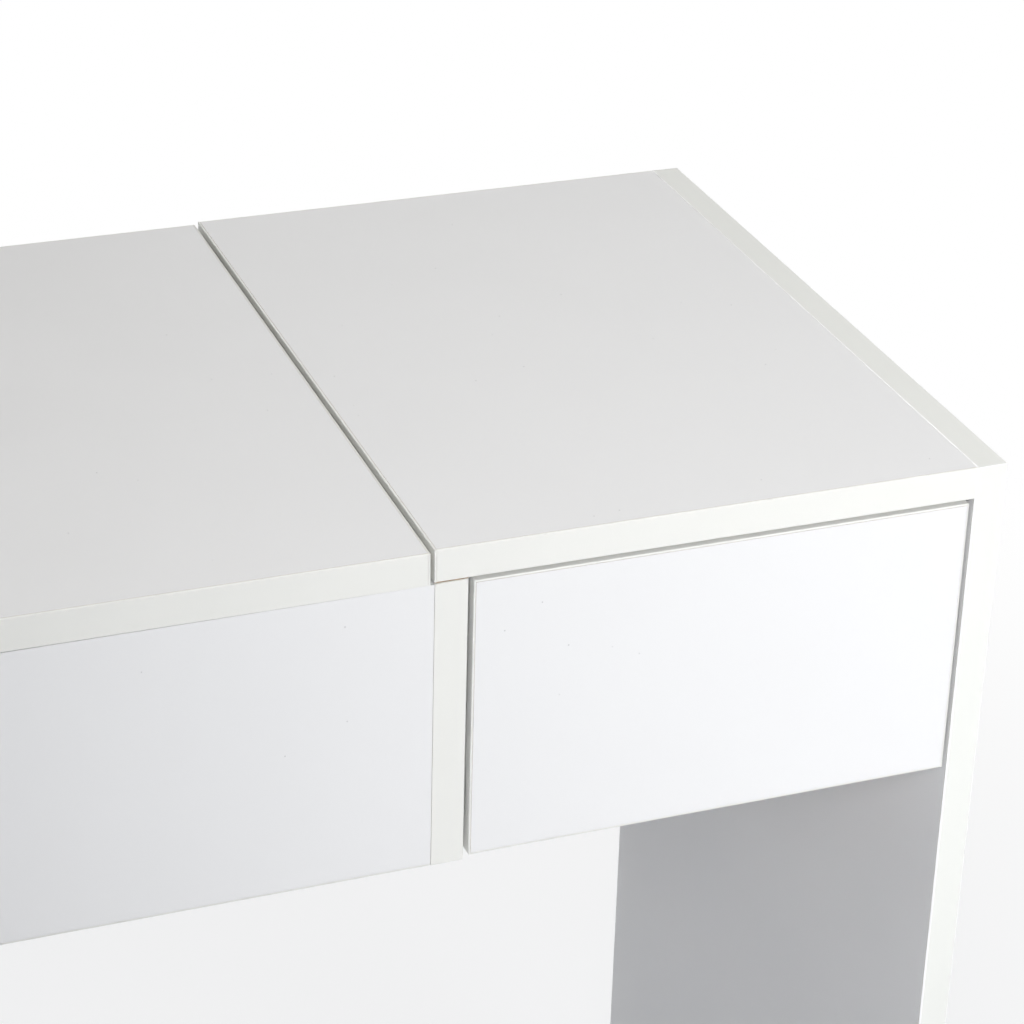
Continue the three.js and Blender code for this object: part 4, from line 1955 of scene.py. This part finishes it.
@dataclass
class LidStay(Handed):
    """One folding stay: a bracket on the compartment's wall, two riveted arms, a bracket on the lid.

    A plate's rim is a share of its thickness, the tab's corner of its half width, and a rivet
    head's lip of its height. The head's dome is in shares of its radius and its lip.
    """

    plate: float = 1.5 * MM
    plate_rim: float = 0.15
    wall_corner: float = 4 * MM
    flange_corner: float = 2.5 * MM
    arm_radius: float = 7 * MM
    arm_rim: float = 0.3 * MM
    arm_gap: float = 0.4 * MM
    tab_half: float = 9 * MM
    tab_corner: float = 0.7
    rivet_radius: float = 2.5 * MM
    rivet_play: float = 0.3 * MM
    head_radius: float = 4.5 * MM
    head_height: float = 1.2 * MM
    head_lip: float = 0.35
    head_dome: tuple[Span, ...] = ((0.55, 0), (0.88, 0.7), (1, 2))
    groove_radius: float = 2.4 * MM
    groove_depth: float = 0.5 * MM
    screw_spacing: float = 23 * MM
    screw_play: float = 0.2 * MM
    hole_depth: float = 4 * MM

    @property
    def wall_pivot(self) -> Vector:
        """The pivot on the wall."""
        return joint_point(self.named("stay_lower_arm"))

    @property
    def lid_pivot(self) -> Vector:
        """The pivot on the lid."""
        return joint_point(self.named("stay_upper_arm"))

    @property
    def elbow(self) -> Vector:
        """The pivot between the two arms."""
        return Box.of(self.named("stay_elbow_rivet")).middle

    @property
    def wall_plate(self) -> Box:
        """The box of the plate on the wall."""
        return Box.of(self.named("stay_wall_bracket")).slab(self.inward.opposite, self.plate)

    @property
    def flange(self) -> Box:
        """The box of the flange under the lid, clear of the upper arm.

        Returns:
            The box.
        """
        arm = Box.of(self.named("stay_upper_arm")).face(self.inward)
        box = Box.of(self.named("stay_lid_bracket")).slab(Side.TOP, self.plate)
        return box.with_face(self.inward.opposite, arm + self.inward.sign * self.arm_gap)

    def build(self) -> list[Object]:
        """Models and dresses the stay.

        Returns:
            The pieces.
        """
        return [
            self.wall_bracket(),
            self.arm("stay_lower_arm", self.wall_pivot),
            self.arm("stay_upper_arm", self.lid_pivot),
            self.elbow_rivet(),
            self.lid_bracket(),
            *self.screws(),
        ]

    def rivet(self, pivot: Vector, start: float, end: float, heads: tuple[bool, bool]) -> Object:
        """A domed rivet along X between two stations.

        Args:
            pivot: The point that it goes through.
            start: The X of the outside of its first end.
            end: The X of the outside of its other end.
            heads: Whether each end has a head.

        Returns:
            The rivet.
        """
        length = abs(end - start)
        lip = self.head_lip * self.head_height
        headed = [(share * self.head_radius, level * lip) for share, level in self.head_dome]
        headed += [(self.head_radius, self.head_height), (self.rivet_radius, self.head_height)]
        plain = [(self.rivet_radius, 0)]
        first, last = (headed if head else plain for head in heads)
        towards = Side.RIGHT if end > start else Side.LEFT
        rivet = turn_profile("rivet", first + far_end(last, length))
        return place(rivet, Vector((start, pivot.y, pivot.z)), towards)

    def wall_bracket(self) -> Object:
        """The plate on the wall with the lower arm's rivet.

        Returns:
            The finished bracket.
        """
        node = self.named("stay_wall_bracket")
        box = Box.of(node)
        plate = self.rounded_plate(node + "_finished", self.wall_plate, Axis.X, self.wall_corner)
        wall, end = box.face(self.inward.opposite), box.face(self.inward)
        combine(plate, [self.rivet(self.wall_pivot, wall, end, (False, True))], "UNION")
        PLATE_SCREW.drill(plate, self.wall_spots(), self.inward, self.screw_play, self.hole_depth)
        return complete(plate, ZINC_PLATED, "steel", node)

    def rounded_plate(self, name: str, box: Box, thin: Axis, corner: float) -> Object:
        """A flat plate with rounded corners and eased rims.

        Args:
            name: The plate's name.
            box: Its box.
            thin: The axis across its thickness.
            corner: The radius of its corners.

        Returns:
            The plate.
        """
        plate = start_box(name, box)
        thickness = box.size[thin]
        bevel(plate, lambda edge: edge_reach(edge)[thin] > thickness / 2, corner, segments=6)
        rim = self.plate_rim * thickness
        bevel(plate, lambda edge: edge_reach(edge)[thin] <= thickness / 2, rim, segments=2)
        return plate

    def arm(self, part: str, pivot: Vector) -> Object:
        """A flat bar with round ends and a pressed groove, drilled for its two rivets.

        Args:
            part: "stay_lower_arm" or "stay_upper_arm".
            pivot: Its end that isn't the elbow.

        Returns:
            The finished arm.
        """
        node = self.named(part)
        box = Box.of(node)
        thickness = box.size.x
        along = self.elbow - pivot
        along.x = 0
        arm = self.bar(node + "_finished", self.arm_radius, along.length, (-thickness / 2, thickness / 2))
        bevel(arm, lambda edge: edge_reach(edge).z < TOLERANCE, self.arm_rim, segments=2)
        combine(arm, self.arm_cutters(thickness, along.length), "DIFFERENCE")
        smooth(arm)
        dress(arm, ZINC_PLATED)
        forward, across = along.normalized(), Side.RIGHT.normal
        turn = Matrix((forward, across.cross(forward), across)).transposed().to_4x4()
        origin = Vector((box.middle.x, pivot.y, pivot.z))
        arm.data.transform(Matrix.Translation(origin) @ turn)
        return install(arm, "steel", node)

    def arm_cutters(self, thickness: float, length: float) -> list[Object]:
        """The cutters of an arm's grooves and rivet holes.

        Args:
            thickness: The arm's thickness.
            length: The distance between its rivets.

        Returns:
            The cutters.
        """
        inset = 2 * self.arm_radius
        cutters = []
        for face in (-1, 1):
            near, far = face * (thickness / 2 - self.groove_depth), face * thickness
            span = (min(near, far), max(near, far))
            groove = self.bar("groove", self.groove_radius, length - 2 * inset, span)
            cutters.append(place(groove, Vector((inset, 0, 0))))
        radius = self.rivet_radius + self.rivet_play
        for station in (0, length):
            hole = turn_profile("rivet_hole", [(radius, -thickness), (radius, thickness)])
            cutters.append(place(hole, Vector((station, 0, 0))))
        return cutters

    @staticmethod
    def bar(name: str, radius: float, length: float, levels: Span) -> Object:
        """A flat bar with round ends: a disc whose far half is drawn out along +X.

        Args:
            name: The bar's name.
            radius: The radius of its ends.
            length: The distance between the middles of its ends.
            levels: The levels of its underside and its upper side.

        Returns:
            The bar, the middle of its near end at the origin.
        """
        low, high = levels
        bar = turn_profile(name, [(radius, low), (radius, high)], sides=48)
        with editing(bar):
            pick("VERT", lambda vertex: vertex.co.x > radius / 100)
            bpy.ops.transform.translate(value=(length, 0, 0))
        return bar

    def elbow_rivet(self) -> Object:
        """The rivet that joins the two arms.

        Returns:
            The finished rivet.
        """
        node = self.named("stay_elbow_rivet")
        box = Box.of(node)
        rivet = self.rivet(self.elbow, box.low.x, box.high.x, (True, True))
        rivet.name = node + "_finished"
        return complete(rivet, ZINC_PLATED, "steel", node)

    def lid_bracket(self) -> Object:
        """The angle on the lid: a flange under it, and a tab with the upper arm's rivet.

        Returns:
            The finished bracket.
        """
        node = self.named("stay_lid_bracket")
        box = Box.of(node)
        tab_box = self.flange.slab(self.inward.opposite, self.plate)
        tab_box = tab_box.with_face(Side.BOTTOM, box.low.z)
        tab_box = tab_box.with_face(Side.FRONT, self.lid_pivot.y - self.tab_half)
        tab_box = tab_box.with_face(Side.BACK, self.lid_pivot.y + self.tab_half)
        flange = self.rounded_plate(node + "_finished", self.flange, Axis.Z, self.flange_corner)
        tab = start_box("bracket_tab", tab_box)
        bevel(
            tab,
            lambda edge: edge_reach(edge).x > self.plate / 2
            and tab_box.touches(Side.BOTTOM, edge_middle(edge)),
            self.tab_corner * self.tab_half,
            segments=7,
        )
        outer, inner = box.face(self.inward.opposite), tab_box.face(self.inward)
        rivet = self.rivet(self.lid_pivot, outer, inner, (True, False))
        combine(flange, [tab, rivet], "UNION")
        PLATE_SCREW.drill(flange, self.lid_spots(), Side.BOTTOM, self.screw_play, self.hole_depth)
        return complete(flange, ZINC_PLATED, "steel", node)

    def spots(self, x: float, z: float, pivot: Vector) -> list[Vector]:
        """Where a bracket's two screws have their heads, before and behind its pivot."""
        return [Vector((x, pivot.y + part * self.screw_spacing, z)) for part in (-0.5, 0.5)]

    def wall_spots(self) -> list[Vector]:
        """Where the wall bracket's screws have their heads."""
        return self.spots(self.wall_plate.face(self.inward), self.wall_pivot.z, self.wall_pivot)

    def lid_spots(self) -> list[Vector]:
        """Where the lid bracket's screws have their heads."""
        across = self.flange.middle.x + self.inward.sign * self.plate
        return self.spots(across, self.flange.low.z, self.lid_pivot)

    def screws(self) -> list[Object]:
        """The four screws that hold the two brackets.

        Returns:
            The screws.
        """
        pattern = PLATE_SCREW.pattern()
        screws = [
            *self.drive(pattern, "stay_screw_wall", self.wall_spots(), self.inward, "carcass"),
            *self.drive(pattern, "stay_screw_lid", self.lid_spots(), Side.BOTTOM, "lid"),
        ]
        pattern.discard()
        return screws


@dataclass
class Drawer:
    """The drawer: a laminated front on a thinner foil-wrapped box with a hardboard bottom."""

    groove_play: float = 0.25 * MM
    groove_overrun: float = 30 * MM
    bottom_ease: float = 0.3 * MM

    def build(self) -> list[Object]:
        """Models and dresses the drawer's five boards.

        Returns:
            The boards.
        """
        around = (Side.LEFT, Side.RIGHT, Side.TOP, Side.BOTTOM)
        foil = {
            "face": DRAWER_FOIL,
            "slot": "drawer_board",
            "wrapped": (Side.TOP, Side.BOTTOM),
        }
        boards = [
            Board("drawer_front", around, Axis.Y, cutters=[self.groove()]),
            *(
                Board(f"drawer_side_{hand}", (), Axis.X, cutters=[self.groove()], **foil)
                for hand in Hand
            ),
            Board("drawer_back", (), Axis.Y, **foil),
        ]
        return [*(board.build() for board in boards), self.bottom()]

    def groove(self) -> Object:
        """A cutter for the groove that the bottom slides in.

        Returns:
            The cutter, in its place.
        """
        box = Box.of("drawer_bottom")
        for side in AROUND:
            box = box.trimmed(side, -self.groove_play)
        return start_box("groove", box.trimmed(Side.BACK, -self.groove_overrun))

    def bottom(self) -> Object:
        """The hardboard bottom: white above, bare brown fibre below.

        Returns:
            The finished bottom.
        """
        panel = start_box("drawer_bottom_finished", Box.of("drawer_bottom"))
        bevel(panel, lambda edge: True, self.bottom_ease, segments=2)
        smooth(panel)
        dress(panel, HARDBOARD_FACE, HARDBOARD_FIBRE, choose=lambda face: int(face.normal.z < ROUGHLY))
        return install(panel, "hardboard", "drawer_bottom")


@dataclass
class BallSlide(Handed):
    """One ball-bearing slide: a rail on the carcass, a rail on the drawer, a cage of balls between.

    The cage reaches past the balls' middles by a share of their radius.
    """

    sheet: float = 1.2 * MM
    cage_sheet: float = 0.8 * MM
    cage_reach: float = 0.72
    lip: float = 3 * MM
    bend: float = 0.9 * MM
    ball_radius: float = 2.9 * MM
    ball_segments: int = 20
    ball_rings: int = 12
    ball_sharpest: float = 80
    balls_per_row: int = 4
    ball_pitch: float = 20 * MM
    hole_inset: float = 35 * MM
    hole_depth: float = 3 * MM
    screw_play: float = 0.15 * MM

    def build(self) -> list[Object]:
        """Models and dresses the slide.

        Returns:
            The pieces.
        """
        outward = self.inward.opposite
        rails = (("carcass", self.inward, self.lip), ("drawer", outward, 0.0))
        pieces = [self.rail(body, opening, lip) for body, opening, lip in rails]
        pieces.append(self.cage())
        pattern = PLATE_SCREW.pattern()
        for body, opening, _ in rails:
            spots = self.screw_spots(Box.of(self.named(body + "_rail")), opening)
            pieces += self.drive(pattern, "rail_screw_" + body, spots, opening, body)
        pattern.discard()
        return pieces

    def rail(self, body: str, opening: Side, lip: float) -> Object:
        """One rail, drilled and countersunk for its screws.

        Args:
            body: The moving body that it is screwed to.
            opening: Where its open side looks.
            lip: How far its flanges are turned over to hold the balls, or 0.

        Returns:
            The finished rail.
        """
        node = self.named(body + "_rail")
        box = Box.of(node)
        rail = self.channel(node + "_finished", box, self.sheet, opening, lip)
        spots = self.screw_spots(box, opening)
        PLATE_SCREW.drill(rail, spots, opening, self.screw_play, self.hole_depth)
        return complete(rail, GALVANISED, "zinc", node)

    def channel(self, name: str, box: Box, sheet: float, opening: Side, lip: float) -> Object:
        """A strip of sheet metal folded to a channel along Y.

        Args:
            name: The channel's name.
            box: Its outer box.
            sheet: The sheet's thickness.
            opening: Where its open side looks.
            lip: How far its flanges are turned over, or 0.

        Returns:
            The channel.
        """
        skin = sheet / 2
        web = box.face(opening.opposite) + opening.sign * skin
        rim = box.face(opening) - (opening.sign * skin if lip else 0)
        low, high = box.low.z + skin, box.high.z - skin
        path = [(rim, low), (web, low), (web, high), (rim, high)]
        if lip:
            path = [(rim, low + lip - skin), *path, (rim, high - lip + skin)]
        channel = fold_sheet(name, path, (box.low.y, box.high.y), self.bend)
        apply_modifier(channel, "SOLIDIFY", thickness=sheet, offset=0, use_even_offset=True)
        face_outwards(channel)
        return channel

    def screw_spots(self, rail: Box, opening: Side) -> list[Vector]:
        """Where the heads of a rail's screws lie, flush with its web's inner face.

        Args:
            rail: The rail's box.
            opening: Where its open side looks.

        Returns:
            The three spots.
        """
        surface = rail.face(opening.opposite) + opening.sign * self.sheet
        stations = (rail.low.y + self.hole_inset, rail.middle.y, rail.high.y - self.hole_inset)
        return [Vector((surface, along, rail.middle.z)) for along in stations]

    def cage(self) -> Object:
        """The cage with its two rows of balls.

        Returns:
            The finished cage.
        """
        node = self.named("ball_cage")
        box = Box.of(node)
        middle = box.middle
        level = box.size.z / 2 - self.ball_radius
        ball_x = box.face(self.inward) - self.inward.sign * self.ball_radius
        half = self.balls_per_row * self.ball_pitch / 2
        rim = ball_x + self.inward.sign * self.cage_reach * self.ball_radius
        cage_box = box.with_face(Side.TOP, middle.z + level + self.cage_sheet / 2)
        cage_box = cage_box.with_face(Side.BOTTOM, middle.z - level - self.cage_sheet / 2)
        cage_box = cage_box.with_face(self.inward, rim)
        cage_box = cage_box.with_face(Side.FRONT, middle.y - half)
        cage_box = cage_box.with_face(Side.BACK, middle.y + half)
        cage = self.channel(node + "_finished", cage_box, self.cage_sheet, self.inward, 0)
        smooth(cage)
        dress(cage, GALVANISED)
        balls = []
        for row in (-1, 1):
            for index in range(self.balls_per_row):
                along = middle.y + (index - (self.balls_per_row - 1) / 2) * self.ball_pitch
                balls.append(self.ball(Vector((ball_x, along, middle.z + row * level))))
        return install(join(node + "_finished", [cage, *balls]), "steel", node)

    def ball(self, middle: Vector) -> Object:
        """One ball.

        Args:
            middle: Its middle.

        Returns:
            The finished ball.
        """
        clear_selection()
        bpy.ops.mesh.primitive_uv_sphere_add(
            segments=self.ball_segments,
            ring_count=self.ball_rings,
            radius=self.ball_radius,
            location=middle,
        )
        ball = bpy.context.object
        bpy.ops.object.transform_apply(location=True, rotation=True, scale=True)
        smooth(ball, degrees=self.ball_sharpest)
        return dress(ball, POLISHED_STEEL)


# ---------------------------------------------------------------- studio


@dataclass(frozen=True)
class Lamp:
    """A soft square lamp: its place, what it points at, its size, power, colour and spread in degrees.

    Only a lamp that glints shows on glossy surfaces.
    """

    name: str
    position: Triple
    target: Triple
    size: float
    power: float
    colour: Rgb = (1.0, 1.0, 1.0)
    spread: float = 180
    glints: bool = False

    def build(self) -> None:
        """Hangs the lamp."""
        data = bpy.data.lights.new(self.name, "AREA")
        data.shape = "SQUARE"
        data.size = self.size
        data.energy = self.power
        data.color = self.colour
        data.spread = math.radians(self.spread)
        lamp = bpy.data.objects.new(self.name, data)
        lamp.location = self.position
        aim = Vector(self.target) - Vector(self.position)
        lamp.rotation_euler = aim.to_track_quat("-Z", "Y").to_euler()
        lamp.visible_camera = False
        lamp.visible_glossy = self.glints
        bpy.context.scene.collection.objects.link(lamp)


LAMPS = (
    Lamp("overhead", (0.1, 0.3, 3.2), (0.0, 0.0, 0.7), 2.4, 29.5, (1.0, 0.985, 0.957)),
    Lamp("key", (0.9, -1.5, 1.3), (0.3, 0.0, 0.6), 0.7, 7.4, (0.993, 0.995, 1.0)),
    Lamp("front_left", (-0.5, -1.5, 1.5), (0.7, -0.2, 0.5), 0.5, 2.0, (0.955, 0.967, 1.0), spread=70),
    Lamp("far_left", (-0.6, -2.2, 1.6), (0.6, -0.2, 0.6), 0.6, 1.15, (0.972, 0.979, 1.0), spread=50),
    Lamp("far_front", (0.6, -2.2, 1.0), (0.55, -0.2, 0.6), 0.5, 0.93, (1.0, 0.997, 0.994), spread=50),
    Lamp("right", (3.0, 0.2, 1.6), (0.0, 0.0, 0.5), 1.8, 6.0),
    Lamp("right_low", (3.0, 0.0, 0.4), (0.4, 0.0, 0.4), 0.7, 8.0),
    Lamp("left_low", (-3.0, 0.0, 0.4), (-0.4, 0.0, 0.4), 0.7, 14.0),
    Lamp("rear_high", (0.38, 1.8, 2.25), (0.38, -0.1, 0.75), 0.5, 0.12, spread=26, glints=True),
    Lamp("rear_low", (0.7, 2.6, 0.3), (0.0, 0.2, 0.4), 0.8, 20.0, (0.99, 0.993, 1.0)),
)


@dataclass
class Studio:
    """A pale floor in a white room, soft lamps and the camera."""

    floor_size: float = 16
    floor_colour: Rgb = (0.785, 0.805, 0.845)
    floor_roughness: float = 0.8
    shadow_reach: Span = (0.55, 1.6)
    least_white: float = 0.75
    ambient: float = 0.12
    ambient_colour: Rgb = (0.975, 0.981, 1.0)
    camera_position: Triple = (-0.28680, -1.33860, 1.39740)
    camera_tilt: float = 62.444
    camera_lean: float = -1.427
    camera_heading: float = -20.286
    lens: float = 108.53
    sensor: float = 36
    farthest: float = 100

    def build(self) -> None:
        """Lays the floor, lights the room and sets up the camera."""
        self.floor()
        self.room()
        for lamp in LAMPS:
            lamp.build()
        self.camera()

    @staticmethod
    def seen_directly(graph: Graph) -> NodeSocket:
        """1 for what the camera, gloss or glass sees, 0 for what only lights the object.

        Args:
            graph: The graph of the floor or the room.

        Returns:
            The value.
        """
        rays = graph.add("LightPath").outputs
        shiny = graph.math("MAXIMUM", rays["Is Glossy Ray"], rays["Is Transmission Ray"])
        return graph.math("MAXIMUM", rays["Is Camera Ray"], shiny)

    def floor(self) -> None:
        """Lays a floor that keeps the table's shadow near it and goes to plain white farther off."""
        clear_selection()
        bpy.ops.mesh.primitive_plane_add(size=self.floor_size, location=(0, 0, 0))
        floor = bpy.context.object
        floor.name = "studio_floor"
        material, graph, shader = start_material("studio_floor")
        shader.inputs["Base Color"].default_value = (*self.floor_colour, 1)
        shader.inputs["Roughness"].default_value = self.floor_roughness
        shader.inputs["Specular IOR Level"].default_value = 0.0
        away = graph.add("VectorMath", {0: graph.object_point()}, operation="LENGTH").outputs["Value"]
        share = graph.remap(away, self.shadow_reach, (self.least_white, 1.0), eased=True)
        white = graph.add("Emission", {"Strength": 1.0})
        lit = graph.math("MULTIPLY", share, self.seen_directly(graph))
        mixed = graph.add("MixShader", {0: lit, 1: shader.outputs[0], 2: white.outputs[0]})
        output = graph.tree.nodes["Material Output"]
        graph.set(output.inputs["Surface"], mixed.outputs[0])
        floor.data.materials.append(material)

    def room(self) -> None:
        """Lights the room softly all round, white where it is seen."""
        world = bpy.data.worlds.new("studio_room")
        bpy.context.scene.world = world
        world.use_nodes = True
        graph = Graph(world.node_tree)
        soft = world.node_tree.nodes["Background"]
        soft.inputs["Color"].default_value = (*self.ambient_colour, 1)
        soft.inputs["Strength"].default_value = self.ambient
        white = graph.add("Background", {"Color": (1, 1, 1, 1), "Strength": 1.0})
        seen = self.seen_directly(graph)
        mixed = graph.add("MixShader", {0: seen, 1: soft.outputs[0], 2: white.outputs[0]})
        graph.set(world.node_tree.nodes["World Output"].inputs["Surface"], mixed.outputs[0])

    def camera(self) -> None:
        """Sets the camera in front of the table and above it, a little to its left."""
        data = bpy.data.cameras.new("camera")
        data.sensor_width = self.sensor
        data.lens = self.lens
        data.clip_end = self.farthest
        camera = bpy.data.objects.new("camera", data)
        camera.location = self.camera_position
        angles = (self.camera_tilt, self.camera_lean, self.camera_heading)
        camera.rotation_euler = [math.radians(angle) for angle in angles]
        bpy.context.scene.collection.objects.link(camera)
        bpy.context.scene.camera = camera


# ---------------------------------------------------------------- the whole table


def main() -> None:
    """Builds the studio and every sub-assembly in order."""
    logging.basicConfig(level=logging.INFO, format="%(name)s: %(message)s")
    bpy.context.scene.view_settings.view_transform = "Standard"
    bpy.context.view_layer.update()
    Studio().build()
    assemblies = (
        Carcass(),
        Lid(),
        LidHinges(),
        LidStay(Hand.LEFT),
        LidStay(Hand.RIGHT),
        Drawer(),
        BallSlide(Hand.LEFT),
        BallSlide(Hand.RIGHT),
    )
    for assembly in assemblies:
        assembly.build()
    clear_selection()


if __name__ == "__main__":
    main()
